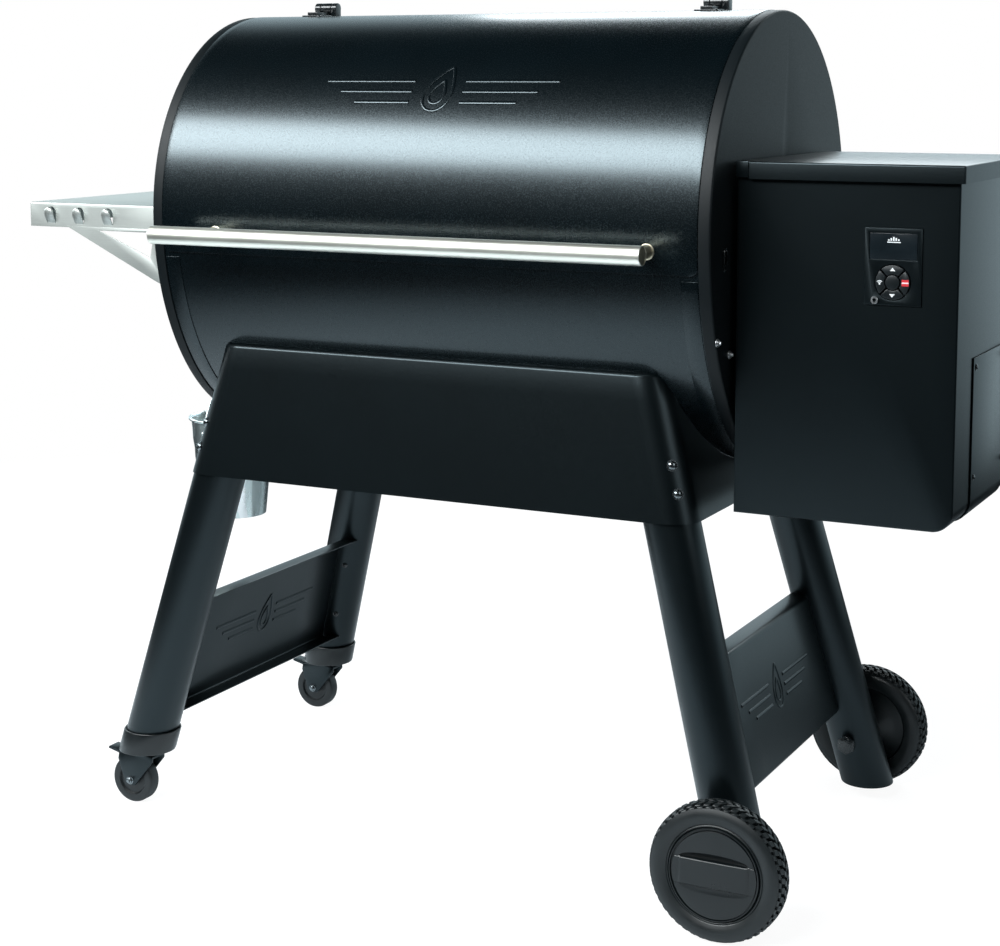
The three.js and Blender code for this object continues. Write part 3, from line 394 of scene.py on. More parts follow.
def tube(bm, path, radius, sides=12, loop=False):
    """A round bar that follows a path without twisting."""
    points = [Vector(point) for point in path]
    count = len(points)
    side = None
    rings = []
    for i, point in enumerate(points):
        before = points[i - 1] if i or loop else point
        after = points[(i + 1) % count] if i < count - 1 or loop else point
        direction = (after - before).normalized()
        if side is None:
            side = direction.orthogonal()
        side = (side - direction * side.dot(direction)).normalized()
        up = direction.cross(side)
        circle = arc((0, 0), radius, 0, 360 * (sides - 1) / sides, sides - 1)
        rings.append([point + side * u + up * v for u, v in circle])
    loft(bm, rings, loop=loop, caps=not loop)


def ridge(bm, path, place, width, height, closed=False):
    """A raised, round-topped stroke that follows a surface. place(u, v, h) is h above the surface."""
    count = len(path)
    rings = []
    for i, (u, v) in enumerate(path):
        before = path[i - 1] if i or closed else path[i]
        after = path[(i + 1) % count] if i < count - 1 or closed else path[i]
        along = Vector((after[0] - before[0], after[1] - before[1])).normalized()
        ring = [place(u - along.y * width / 2, v + along.x * width / 2, -0.3)]
        for across, lift in arc((0, 0), 1, 0, 180, 6):
            offset = across * width / 2
            ring.append(place(u - along.y * offset, v + along.x * offset, lift * height))
        ring.append(place(u + along.y * width / 2, v - along.x * width / 2, -0.3))
        rings.append(ring)
    loft(bm, rings, loop=closed, caps=not closed)


def dome_bolt(bm, at, axis, radius, height):
    """A carriage bolt's domed head on a thin washer."""
    profile = [(0, 0), (radius * 1.25, 0), (radius * 1.25, 0.8), (radius, 0.8)]
    for i in range(5):
        angle = math.radians(90 * (i + 1) / 5)
        profile.append((radius * math.cos(angle), 0.8 + height * math.sin(angle)))
    profile[-1] = (0, 0.8 + height)
    lathe(bm, profile, at, axis, 20)


def hex_nut(bm, at, axis, radius, height):
    """A washer, a hexagonal nut and the bolt's end."""
    washer, shank, end = radius * 1.25, radius * 0.5, height + 2
    lathe(bm, [(0, 0), (washer, 0), (washer, 1), (0, 1)], at, axis, 24)
    lathe(bm, [(0, 1), (radius, 1), (radius, height - 1), (radius - 1, height), (0, height)], at, axis, 6)
    lathe(bm, [(0, height), (shank, height), (shank, end), (0, end)], at, axis, 16)


# ---------------------------------------------------------------- making pieces


def tidied(bm):
    bmesh.ops.remove_doubles(bm, verts=bm.verts, dist=1e-3)
    bmesh.ops.dissolve_degenerate(bm, dist=1e-4, edges=bm.edges)
    loose = [v for v in bm.verts if not v.link_faces]
    bmesh.ops.delete(bm, geom=loose, context="VERTS")
    bmesh.ops.recalc_face_normals(bm, faces=bm.faces)
    return bm


def temporary(bm):
    """An object for one boolean operation."""
    mesh = bpy.data.meshes.new("temporary")
    tidied(bm).to_mesh(mesh)
    bm.free()
    thing = bpy.data.objects.new("temporary", mesh)
    bpy.context.scene.collection.objects.link(thing)
    return thing


def carve(bm, *cutters):
    """Cuts closed shapes out of a closed shape."""
    base = temporary(bm)
    tools = [temporary(cutter) for cutter in cutters]
    for tool in tools:
        cut = base.modifiers.new("cut", "BOOLEAN")
        cut.operation = "DIFFERENCE"
        cut.solver = "EXACT"
        cut.object = tool
    evaluated = base.evaluated_get(bpy.context.evaluated_depsgraph_get())
    result = bmesh.new()
    result.from_mesh(evaluated.to_mesh())
    for thing in (base, *tools):
        mesh = thing.data
        bpy.data.objects.remove(thing)
        bpy.data.meshes.remove(mesh)
    flat = math.radians(0.5)
    bmesh.ops.dissolve_limit(result, angle_limit=flat, verts=result.verts, edges=result.edges)
    return result


def piece(name, bm, body, slot, stands_for=(), bevel=0.0, crease=35, segments=2, look=None):
    """Turns a bmesh in millimetres into a named piece that rides on a body and takes a slot's finish."""
    tidied(bm)
    if bevel:
        sharp = [
            edge
            for edge in bm.edges
            if len(edge.link_faces) == 2 and edge.calc_face_angle(0) > math.radians(crease)
        ]
        bmesh.ops.bevel(
            bm, geom=sharp, offset=bevel, offset_type="OFFSET", segments=segments,
            profile=0.5, affect="EDGES", clamp_overlap=True,
        )
    bmesh.ops.scale(bm, vec=(MM, MM, MM), verts=bm.verts)
    mesh = bpy.data.meshes.new(name)
    bm.to_mesh(mesh)
    bm.free()
    mesh.polygons.foreach_set("use_smooth", [True] * len(mesh.polygons))
    mesh.set_sharp_from_angle(angle=math.radians(crease))
    mesh.materials.append(look or LOOKS[slot])
    thing = bpy.data.objects.new(name, mesh)
    bpy.context.scene.collection.objects.link(thing)
    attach(thing, body)
    if stands_for:
        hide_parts(*stands_for)
    return thing


def standing_for(node, bm, name=None, **options):
    """A piece in place of one CAD node, on that node's body and with its slot."""
    return piece(name or f"{node}_shape", bm, BODY_OF[node], SLOT_OF[node], (node,), **options)


def refined(node, bevel, crease=40, **options):
    """A CAD node's own shape with its edges rounded off."""
    bm = bmesh.new()
    bm.from_mesh(frame["nodes"][node].data)
    bmesh.ops.scale(bm, vec=(1 / MM, 1 / MM, 1 / MM), verts=bm.verts)
    bmesh.ops.remove_doubles(bm, verts=bm.verts, dist=1e-3)
    bmesh.ops.dissolve_limit(bm, angle_limit=math.radians(1), verts=bm.verts, edges=bm.edges)
    return standing_for(node, bm, bevel=bevel, crease=crease, **options)


# ---------------------------------------------------------------- barrel and lid


def section(offset, angle):
    """A point of the barrel's section, as (y, z), at an angle in radians from the back, over the top."""
    height = (RISE if math.sin(angle) > 0 else DROP) + offset
    return (HALF_DEPTH + offset) * math.cos(angle), AXIS_Z + height * math.sin(angle)


def front_angle(z, offset=0.0):
    """The section's angle at a height on the front."""
    height = (RISE if z > AXIS_Z else DROP) + offset
    return math.pi - math.asin((z - AXIS_Z) / height)


def rear_angle(y, offset=0.0):
    """The section's angle at a depth on the top."""
    return math.acos(y / (HALF_DEPTH + offset))


def barrel_y(z, offset=0.0):
    """Half the barrel's depth at a height."""
    height = (RISE if z > AXIS_Z else DROP) + offset
    return (HALF_DEPTH + offset) * math.sqrt(max(0.0, 1 - ((z - AXIS_Z) / height) ** 2))


def in_barrel(y, z, offset):
    height = (RISE if z > AXIS_Z else DROP) + offset
    return (y / (HALF_DEPTH + offset)) ** 2 + ((z - AXIS_Z) / height) ** 2 < 1


def even(start, end, steps):
    return [start + (end - start) * i / steps for i in range(steps + 1)]


def barrel_grid(xs, angles, offset):
    """Rows of points on the barrel's section, grown by an offset, at distances along the barrel."""
    return [[(MID_X + x, *section(offset, angle)) for x in xs] for angle in angles]


def outward(angle):
    """The direction that faces out of the barrel at an angle of its section."""
    return 0, math.cos(angle), math.sin(angle)


SLOT_CENTRES = (-240, -120, 0, 120, 240)
SLOT_HALF, SLOT_LOW_Z, SLOT_HIGH_Z = 45.0, 1005.0, 1025.0


def barrel_sheet():
    """The barrel's shell: open for the lid, and slotted behind the hood."""
    mouth_front = front_angle(LID_FRONT_Z + LID_OVERLAP)
    mouth_rear = rear_angle(LID_REAR_Y - LID_OVERLAP) + 2 * math.pi
    slot_low = 2 * math.pi + math.asin((SLOT_LOW_Z - AXIS_Z) / RISE)
    slot_high = 2 * math.pi + math.asin((SLOT_HIGH_Z - AXIS_Z) / RISE)
    closed = even(mouth_front, slot_low, 72)[:-1] + [slot_low] + even(slot_high, mouth_rear, 22)
    opening = even(mouth_rear, mouth_front + 2 * math.pi, 32)[1:-1]
    angles = closed + opening
    edge_x = LID_END_X - LID_OVERLAP
    xs = sorted(
        [-SHELL_END_X, -edge_x, edge_x, SHELL_END_X]
        + [centre + side * SLOT_HALF for centre in SLOT_CENTRES for side in (-1, 1)]
    )
    slot_row = closed.index(slot_low)
    mouth_row = len(closed) - 1

    def keep(i, j):
        centre = (xs[j] + xs[j + 1]) / 2
        if i == slot_row:
            return all(abs(centre - slot) > SLOT_HALF for slot in SLOT_CENTRES)
        return i < mouth_row or abs(centre) > edge_x

    return shape(sheet, barrel_grid(xs, angles, 0), barrel_grid(xs, angles, -SHEET), keep, True)


def build_barrel():
    standing_for("barrel_shell", barrel_sheet(), crease=40)

    bands = bmesh.new()
    angles = even(front_angle(LID_FRONT_Z - 7), rear_angle(LID_REAR_Y + 40) + 2 * math.pi, 90)
    for side, _ in SIDES:
        xs = (side * 381.5, side * (SHELL_END_X - 1.2))
        sheet(bands, barrel_grid(xs, angles, 1.1), barrel_grid(xs, angles, 0.02))
    piece("barrel_end_bands", bands, "frame", "gloss_powder_coat", bevel=0.3, crease=50)

    ledges = bmesh.new()
    for side, _ in FACES:
        for inner_y, low_z, high_z in LEDGES:
            ys = (side * inner_y, side * (barrel_y(low_z, -SHEET) + 0.5))
            outline = [(ys[0], low_z), (ys[1], low_z), (ys[1], high_z), (ys[0], high_z)]
            prism(ledges, outline, "x", MID_X - LEDGE_HALF, MID_X + LEDGE_HALF)
    piece("inner_ledges", ledges, "frame", "gloss_powder_coat")


def build_hood():
    """Smoke hood on the back: a folded sheet with a closed end at each side, open below."""
    hood_low, hood_high = span("exhaust_hood")
    half = (hood_high.x - hood_low.x) / 2
    back, bottom, top = hood_high.y, hood_low.z, hood_high.z
    bend, sunk = 6.0, 0.2
    corner = (back - bend, top - bend)
    rows = [
        [(back - inset, bottom)] + arc(corner, bend - inset, 0, 90, 5) + [(barrel_y(top) + sunk, top - inset)]
        for inset in (0, SHEET)
    ]
    xs = (MID_X - half, MID_X + half)
    bm = shape(sheet, *[[[(x, y, z) for x in xs] for y, z in row] for row in rows])
    cheek = [(back - 1, bottom)] + arc(corner, bend - 1, 0, 90, 5)
    cheek += [(barrel_y(z) + sunk, z) for z in even(top - 1, bottom, 14)]
    for side, _ in SIDES:
        prism(bm, cheek, "x", *sorted((MID_X + side * half, MID_X + side * (half - SHEET))))
    standing_for("exhaust_hood", bm, bevel=0.5, crease=50)
    rivets = bmesh.new()
    angle = math.asin((top + 9 - AXIS_Z) / RISE)
    for x in (-300, -150, 0, 150, 300):
        dome_bolt(rivets, (MID_X + x, *section(0, angle)), outward(angle), 4, 2)
    piece("hood_rivets", rivets, "frame", "zinc_plated", look=BOLT_BLACK)


def lid_point(x, angle, lift=0.0):
    return Vector((MID_X + x, *section(LID_GROW + lift, angle)))


def build_lid():
    corner, corner_steps = 10.0, 8
    angles = even(rear_angle(LID_REAR_Y, LID_GROW), front_angle(LID_FRONT_Z + corner, LID_GROW), 90)
    narrowing = [0.0] * len(angles)
    for step in range(1, corner_steps + 1):
        turn = math.radians(90 * step / corner_steps)
        angles.append(front_angle(LID_FRONT_Z + corner - corner * math.sin(turn), LID_GROW))
        narrowing.append(corner * (1 - math.cos(turn)))
    shares = (-1.0, -0.975, -0.5, 0.0, 0.5, 0.975, 1.0)
    grids = [
        [
            [(MID_X + share * (LID_END_X - narrow), *section(offset, angle)) for share in shares]
            for angle, narrow in zip(angles, narrowing)
        ]
        for offset in (LID_GROW, LID_GROW - SHEET)
    ]
    standing_for("lid_shell", shape(sheet, *grids), bevel=0.6, crease=50)
    mark = shape(emblem, on_lid, EMBLEM_MID_X, EMBLEM_MID_V, 1.5, EMBLEM_HEIGHT)
    piece("lid_emblem", mark, "lid", "gloss_powder_coat", crease=60)


def on_lid(u, v, h):
    """A point on the lid: u along X from the middle, v up the front from the axis, h outwards."""
    return lid_point(u, math.pi - v / (RISE + LID_GROW), h)


EMBLEM_MID_X, EMBLEM_MID_V, EMBLEM_HEIGHT = 8.0, 196.0, 1.3


def flame_outline(centre_u, centre_v, width, height, steps=26):
    """A plain teardrop flame with its tip leaning to one side."""
    points = []
    for i in range(steps):
        angle = 2 * math.pi * i / steps
        taper = 0.5 + 0.5 * math.sin(angle)
        half = width / 2 * (1 - 0.72 * taper ** 1.6)
        u = centre_u + half * math.cos(angle) + 0.22 * width * taper ** 2
        points.append((u, centre_v + height / 2 * math.sin(angle)))
    return points


def emblem(bm, place, centre_u, centre_v, scale, height):
    """A generic mark: a flame inside a flame, between two stacks of three bars."""
    for size in (1.0, 0.52):
        width, tall = 34 * size * scale, 50 * size * scale
        outline = flame_outline(centre_u, centre_v - (1 - size) * 9 * scale, width, tall)
        ridge(bm, outline, place, 3.4 * scale, height, closed=True)
    for side in (-1, 1):
        for lift, reach in ((8, 92), (-4, 74), (-16, 56)):
            v = centre_v + lift * scale
            stroke = [(centre_u + side * (26 + reach * i / 12) * scale, v) for i in range(13)]
            ridge(bm, stroke, place, 4.2 * scale, height)


def cap_rings(side, profile):
    """Rings round the barrel's section for a profile of (offset, distance from the middle)."""
    angles = even(0, 2 * math.pi, 128)[:-1]
    return [[(MID_X + side * x, *section(offset, a)) for a in angles] for offset, x in profile]


def build_end_caps():
    """Each plate turns over a flange to the barrel, with a lip inside it, its nuts and a wire clip."""
    inner_offset = -SHEET - SEAM
    flange_x, lip_x, bend = 406.3, 394.3, 3
    profile = [(-9.0, END_X)]
    profile += [(CAP_GROW - bend + du, END_X - bend + dx) for du, dx in arc((0, 0), bend, 90, 0, 5)]
    profile += [(CAP_GROW, flange_x), (inner_offset, flange_x), (inner_offset, lip_x)]
    profile += [(inner_offset - SHEET, lip_x), (inner_offset - SHEET, END_X - SHEET)]
    bore_z = centre_of("auger_tube").z
    nut_places = {"left": ((150, 700), (190, 720)), "right": ((-245, 743), (-201, 723))}
    for side, name in SIDES:
        bm = shape(loft, cap_rings(side, profile))
        if name == "right":
            bm = carve(bm, shape(rod, 30.4, (MID_X + 380, 0, bore_z), (MID_X + 440, 0, bore_z), 48))
        standing_for(f"end_cap_{name}", bm, bevel=0.3, crease=50, look=MATT_BLACK)
        xs = sorted((MID_X + side * 372, MID_X + side * (END_X - 1.5)))
        ledge = shape(block, xs, (-40, 190), (978, 981))
        piece(f"rack_ledge_{name}", ledge, "frame", "satin_black", bevel=0.5)
        nuts = bmesh.new()
        for y, z in nut_places[name]:
            hex_nut(nuts, (MID_X + side * END_X, y, z), (side, 0, 0), 4.6, 3.6)
        piece(f"end_cap_nuts_{name}", nuts, "frame", "zinc_plated", bevel=0.3)
        x = MID_X + side * (END_X + 1.4)
        path = [(x, -223 + dy, 846 + dz) for dy, dz in rounded_rectangle(-5, 5, -14, 14, 4.5, 5)]
        clip = shape(tube, path, 1.3, 8, True)
        piece(f"end_cap_clip_{name}", clip, "frame", "satin_black", look=BOLT_BLACK)


def build_spout():
    """Sloping drain spout and the hook that carries the bucket's bail."""
    bucket_x = centre_of("grease_bucket").x
    start = Vector((MID_X - 385, 0, 592))
    direction = Vector((bucket_x + 10, 0, 572)) - start
    length = direction.length
    profile = [(15, 0), (17, 0), (17, length - 3), (18.2, length - 2), (18.2, length), (15, length)]
    piece("drain_spout", shape(lathe, profile, start, direction, 40, True), "frame", "satin_black", bevel=0.4)

    wire_radius, hook_radius, bend = 1.7, 3.0, 6
    hook_z = span("bucket_bail")[1].z - 2 * wire_radius - SEAM - hook_radius
    hook_x = bucket_x - 8
    path = [(MID_X - END_X, 0, hook_z), (hook_x + bend, 0, hook_z)]
    for a in even(0.3, math.pi / 2, 5):
        path.append((hook_x + bend - bend * math.sin(a), 0, hook_z + bend - bend * math.cos(a)))
    path.append((hook_x, 0, hook_z + 10))
    piece("bucket_hook", shape(tube, path, hook_radius, 14), "frame", "zinc_plated")


def build_hinges():
    for _, name in SIDES:
        refined(f"lid_hinge_base_{name}", 0.8, look=BOLT_BLACK)
        refined(f"lid_hinge_leaf_{name}", 0.6, look=BOLT_BLACK)
        middle = centre_of(f"lid_hinge_leaf_{name}").x - MID_X
        screws = bmesh.new()
        for across, y in ((0, -10), (18, -24)):
            angle = rear_angle(y, LID_GROW)
            dome_bolt(screws, lid_point(middle + across, angle), outward(angle), 3.4, 1.8)
        piece(f"hinge_screws_{name}", screws, "lid", "zinc_plated", look=BOLT_BLACK)
        xs = (middle - 17, middle + 17)
        angles = even(math.acos(14 / 273), math.acos(-16 / 273), 4)
        strap = shape(sheet, *[barrel_grid(xs, angles, LID_GROW + lift) for lift in (1.9, 0.02)])
        piece(f"hinge_strap_{name}", strap, "lid", "satin_black", bevel=0.4, look=BOLT_BLACK)


def build_handle():
    low, high = span("lid_handle_bar")
    _, y, z = (low + high) / 2
    radius, length = (high.z - low.z) / 2, high.x - low.x
    wall = radius - 1.3
    half_profile = [(0, 1.0), (wall, 1.0), (wall, 0), (radius - 0.5, 0), (radius, 0.6)]
    profile = half_profile + [(r, length - x) for r, x in reversed(half_profile)]
    standing_for("lid_handle_bar", shape(lathe, profile, (low.x, y, z), (1, 0, 0), 64), crease=30)
    plugs = bmesh.new()
    for x, side in ((low.x, -1), (high.x, 1)):
        cap = [(0, -1.2), (wall - 0.3, -1.2), (wall - 0.3, -0.5), (wall - 1.2, -0.1), (0, -0.05)]
        lathe(plugs, cap, (x, y, z), (side, 0, 0), 40)
    piece("handle_end_plugs", plugs, "lid", "brass_tone")

    for _, name in SIDES:
        post_low, post_high = span(f"handle_post_{name}")
        stem = (post_high.z - post_low.z) / 2
        face_y = -barrel_y(z, LID_GROW)
        reach = face_y - (y + radius * 0.55)
        profile = [(0, 0), (stem + 0.5, 0), (stem + 1.5, 1), (stem + 1.5, 4), (stem, 5), (stem, reach - 10)]
        profile += [(stem + 2, reach - 4), (stem + 2, reach), (0, reach)]
        at = ((post_low.x + post_high.x) / 2, face_y + 2.5, z)
        standing_for(f"handle_post_{name}", shape(lathe, profile, at, (0, -1, 0), 40), crease=40)


# ---------------------------------------------------------------- legs, skirt and braces


def leg_point(side_x, side_y, z):
    """A point on a leg's centre line."""
    fall = LEG_DATUM_Z - z
    x = MID_X + side_x * (LEG_X + LEG_SPLAY_X * fall)
    return Vector((x, side_y * (LEG_Y + LEG_SPLAY_Y * fall), z))


def leg_rim(side_x, side_y, radius, steps=56):
    """Where a leg of a radius cuts a level plane, relative to its centre line."""
    axis = (leg_point(side_x, side_y, 1) - leg_point(side_x, side_y, 0)).normalized()
    turn = turn_to(axis)
    rim = []
    for u, v in arc((0, 0), radius, 0, 360 * (steps - 1) / steps, steps - 1):
        offset = turn @ Vector((u, v, 0))
        rim.append(offset - axis * (offset.z / axis.z))
    return rim


def height_under_barrel(point_at, low, high):
    """The height at which a line that rises with z meets the barrel, or its own top."""
    top = point_at(high)
    if not in_barrel(top.y, top.z, 0.4):
        return high
    for _ in range(24):
        middle = (low + high) / 2
        point = point_at(middle)
        if in_barrel(point.y, point.z, 0.4):
            high = middle
        else:
            low = middle
    return low


def build_legs():
    inner = LEG_RADIUS - LEG_WALL
    bolts = bmesh.new()
    for side_x, name_x in SIDES:
        for side_y, name_y in FACES:
            node = f"leg_{name_y}_{name_x}"
            bottom = span(node)[0].z

            def ring(radius, z=None):
                """A level ring, or without a height the saddle where the tube meets the barrel."""
                points = []
                for offset in leg_rim(side_x, side_y, radius):
                    line = lambda height: leg_point(side_x, side_y, height) + offset
                    height = height_under_barrel(line, 560, LEG_TOP_Z) if z is None else z
                    points.append(line(height))
                return points

            foot = [(LEG_RADIUS - 1.2, 0.0), (LEG_RADIUS - 0.3, 0.35), (LEG_RADIUS, 1.2)]
            rings = [ring(radius, bottom + lift) for radius, lift in foot]
            rings += [ring(LEG_RADIUS), ring(inner), ring(inner, bottom + 8)]
            standing_for(node, shape(loft, rings), crease=40)
            axis = Vector((-side_x * 0.45, -side_y * 0.9, 0)).normalized()
            for z in (180, 268):
                at = leg_point(side_x, side_y, z) + axis * (LEG_RADIUS - 0.2)
                dome_bolt(bolts, at, axis, 4, 2.4)
    piece("brace_bolts", bolts, "frame", "zinc_plated", look=BOLT_BLACK)


def skirt_lines(side_y):
    """The skirt's wall as functions of (sheet offset, height), round one half from left to right."""

    def side_line(side_x, share):
        def at(offset, z):
            corner = leg_point(side_x, side_y, z)
            start = side_y * 0.5
            y = start + share * (corner.y - start)
            return Vector((corner.x + side_x * (SKIRT_RADIUS - offset), y, z))
        return at

    def corner_line(side_x, degrees):
        across, deep = math.cos(math.radians(degrees)), math.sin(math.radians(degrees))

        def at(offset, z):
            out = Vector((side_x * across, side_y * deep, 0))
            return leg_point(side_x, side_y, z) + out * (SKIRT_RADIUS - offset)
        return at

    lines = [side_line(-1, share) for share in even(0, 1, 14)[:-1]]
    lines += [corner_line(-1, degrees) for degrees in even(0, 90, 10)]
    lines += [corner_line(1, degrees) for degrees in even(90, 0, 10)]
    lines += [side_line(1, share) for share in even(1, 0, 14)[1:]]
    return lines


def build_skirt(side_y, name):
    low, high = span(f"skirt_{name}")
    bottom, top, bend = low.z, high.z, 4.0
    flange_y = side_y * (barrel_y(top, 0.4) + 0.4)

    def row(line, offset):
        """One line of the skirt: up the wall, round the top bend and in to the barrel."""
        meets = height_under_barrel(lambda z: line(offset, z), bottom, top - offset)
        if meets < top - bend:
            return [line(offset, z) for z in even(bottom, meets, 6)] + [line(offset, meets)] * 5
        points = [line(offset, z) for z in even(bottom, top - bend, 6)]
        for degrees in (30, 60, 90):
            turn = math.radians(degrees)
            inset = offset + (bend - offset) * (1 - math.cos(turn))
            points.append(line(inset, top - bend + (bend - offset) * math.sin(turn)))
        rim = line(bend, top - offset)
        points.append(Vector((rim.x, rim.y + (flange_y - rim.y) * 0.5, top - offset)))
        points.append(Vector((rim.x, flange_y, top - offset)))
        return points

    grids = [[row(line, offset) for line in skirt_lines(side_y)] for offset in (0, SKIRT_SHEET)]
    standing_for(f"skirt_{name}", shape(sheet, *grids), crease=50)

    bolts = bmesh.new()
    for side_x, _ in SIDES:
        for z in (544, 580):
            axis = Vector((side_x, side_y, 0.25)).normalized()
            out = Vector((side_x, side_y, 0)).normalized()
            dome_bolt(bolts, leg_point(side_x, side_y, z) + out * (SKIRT_RADIUS - 0.3), axis, 6.2, 4.2)
    piece(f"skirt_bolts_{name}", bolts, "frame", "zinc_plated", look=DARK_NICKEL)


def build_brace(side_x, name):
    """A channel between two legs: a face with a lip turned inwards along its top and bottom."""
    low, high = span(f"brace_{name}")
    depth, bend, thick, leg_clearance = 28.0, 5.0, 2.0, 1.03

    def channel(offset):
        """(distance inwards, height) round the channel's section."""
        top, bottom, turn = high.z - offset, low.z + offset, bend - offset
        upper = arc((bend, top - turn), turn, 90, 180, 6)
        return [(depth, top)] + upper + arc((bend, bottom + turn), turn, 180, 270, 6) + [(depth, bottom)]

    def row(inward, z):
        corner = leg_point(side_x, 1, z)
        chord = math.sqrt(max(0.0, (LEG_RADIUS + SEAM) ** 2 - inward ** 2))
        reach = corner.y - chord * leg_clearance
        return [(corner.x - side_x * inward, y, z) for y in even(-reach, reach, 4)]

    grids = [[row(inward, z) for inward, z in channel(offset)] for offset in (0, thick)]
    standing_for(f"brace_{name}", shape(sheet, *grids), bevel=0.3, crease=50)

    relief = bmesh.new()
    for depth_in, outward in ((0, 1), (thick, -1)):
        def place(u, v, h):
            x = leg_point(side_x, 1, v).x + side_x * (h * outward - depth_in)
            return Vector((x, u, v))
        emblem(relief, place, 0, (low.z + high.z) / 2 + 8, 1.15, EMBLEM_HEIGHT)
    piece(f"brace_relief_{name}", relief, "frame", "satin_black", crease=60)


# ---------------------------------------------------------------- rolling gear


def build_tyre(name, side):
    low, high = span(f"tyre_{name}")
    centre = (low + high) / 2
    radius, half, bore = (high.x - low.x) / 2, (high.y - low.y) / 2, 60.4
    axis = (0, side, 0)
    profile = [(bore, -half + 3), (bore, half - 4.5), (bore + 1.5, half - 3.2), (bore + 2.6, half - 3.4)]
    profile += [(bore + 3.4, half - 4.4), (bore + 4.2, half - 3.4)]
    for share in even(0, 1, 10):
        r = bore + 4.6 + (radius - 9.6 - bore) * share
        profile.append((r, half - 3.2 + 3.2 * math.sin(math.pi * share)))
    profile += [(radius - 5.6, half - 5.5), (radius - 5.2, half - 9), (radius - 5.0, 0)]
    profile += [(radius - 5.2, -half + 7), (radius - 7, -half + 2.4)]
    profile += [(radius - 12, -half), (bore + 8, -half)]
    standing_for(f"tyre_{name}", shape(lathe, profile, centre, axis, 120, True), crease=50)

    blocks = bmesh.new()
    turn = turn_to(axis)
    count, width, flank = 46, 0.098, 0.008  # blocks round the tyre; a block's angles, in radians
    block_depth, shoulder, shoulder_slope = 6.5, 9, 0.45
    rows = ((0.5, 6.8, 0.0, 0.055), (7.6, 13.4, 0.075, 0.02), (14.0, 17.4, 0.03, 0.015))

    def block_ring(start, across, row_side):
        top = radius - shoulder_slope * max(0.0, across - shoulder)
        corners = ((0, -block_depth), (flank, 0), (width - flank, 0), (width, -block_depth))
        ring = []
        for ahead, lift in corners:
            r, angle = top + lift, start + ahead
            offset = Vector((r * math.cos(angle), r * math.sin(angle), row_side * across))
            ring.append(centre + turn @ offset)
        return ring

    for row_side in (-1, 1):
        stagger = 0.5 if row_side > 0 else 0
        for near, far, begin, skew in rows:
            for i in range(count):
                start = 2 * math.pi * (i + stagger) / count + begin
                loft(blocks, [block_ring(start, near, row_side), block_ring(start + skew, far, row_side)])
    piece(f"tread_blocks_{name}", blocks, f"wheel_{name}", "tyre_rubber", bevel=0.5, crease=30, segments=1)


def build_hub(name, side):
    """Hub disc with a raised band across its middle, a deep scoop above it and a shallow one below."""
    low, high = span(f"wheel_hub_{name}")
    tyre_low, tyre_high = span(f"tyre_{name}")
    centre = (tyre_low + tyre_high) / 2
    half = (tyre_high.y - tyre_low.y) / 2
    radius = (high.x - low.x) / 2
    face, bore = half - 0.4, 8.4
    profile = [(bore, face - 12), (bore, -half + 1), (24, -half + 1), (30, -half + 6)]
    profile += [(radius - 2, -half + 6), (radius, -half + 8), (radius, face - 2.4)]
    profile += [(radius - 0.8, face - 1.4), (radius - 1.8, face - 1.2), (radius - 2.4, face - 4)]
    profile += [(radius - 3.4, face - 4), (radius - 3.4, face - 12)]
    rim_ring = shape(lathe, profile, centre, (0, side, 0), 96, True)
    standing_for(f"wheel_hub_{name}", rim_ring, crease=40)

    disc, band, scoop, reach, lower_share = radius - 3.7, 17.0, 9.0, 46.0, 0.25
    columns = even(-disc * 0.999, disc * 0.999, 60)

    def heights(u):
        """(v, height) up the disc at a distance from its middle."""
        rim = math.sqrt(max(0.0, disc ** 2 - u ** 2))
        bulge = max(0.0, 1 - (u / reach) ** 2) ** 0.5
        inner = min(band, rim)
        outer = min(band + 1 + scoop * bulge, rim)
        width = outer - inner
        crown = face - 1.0 - 1.6 * (u / disc) ** 2
        grip = 1.4 * min(1.0, 4 * bulge)
        row = [(0.0, grip), (max(inner - 0.8, 0.0), grip), (inner, grip - 0.7)]
        row += [(min(inner + 0.8, outer), -6 * bulge), (inner + width * 0.45, -4.6 * bulge)]
        row += [(inner + width * 0.75, -2.0 * bulge), (outer, 0.0), ((outer + rim) / 2, -0.2)]
        row += [(max(rim - 0.8, outer), -0.4), (rim, -1.4)]
        upper = [(v, crown + lift) for v, lift in row]
        lower = [(-v, crown + (lift if lift > 0 else lift * lower_share)) for v, lift in row[1:]]
        return lower[::-1] + upper

    def placed(u, v, h):
        return centre + Vector((u, side * h, v))

    rows = [(u, heights(u)) for u in columns]
    outer = [[placed(u, v, h) for v, h in row] for u, row in rows]
    inner = [[placed(u, v, face - 11.5) for v, _ in row] for u, row in rows]
    piece(f"hub_cap_{name}", shape(sheet, outer, inner), f"wheel_{name}", "black_plastic", crease=28)


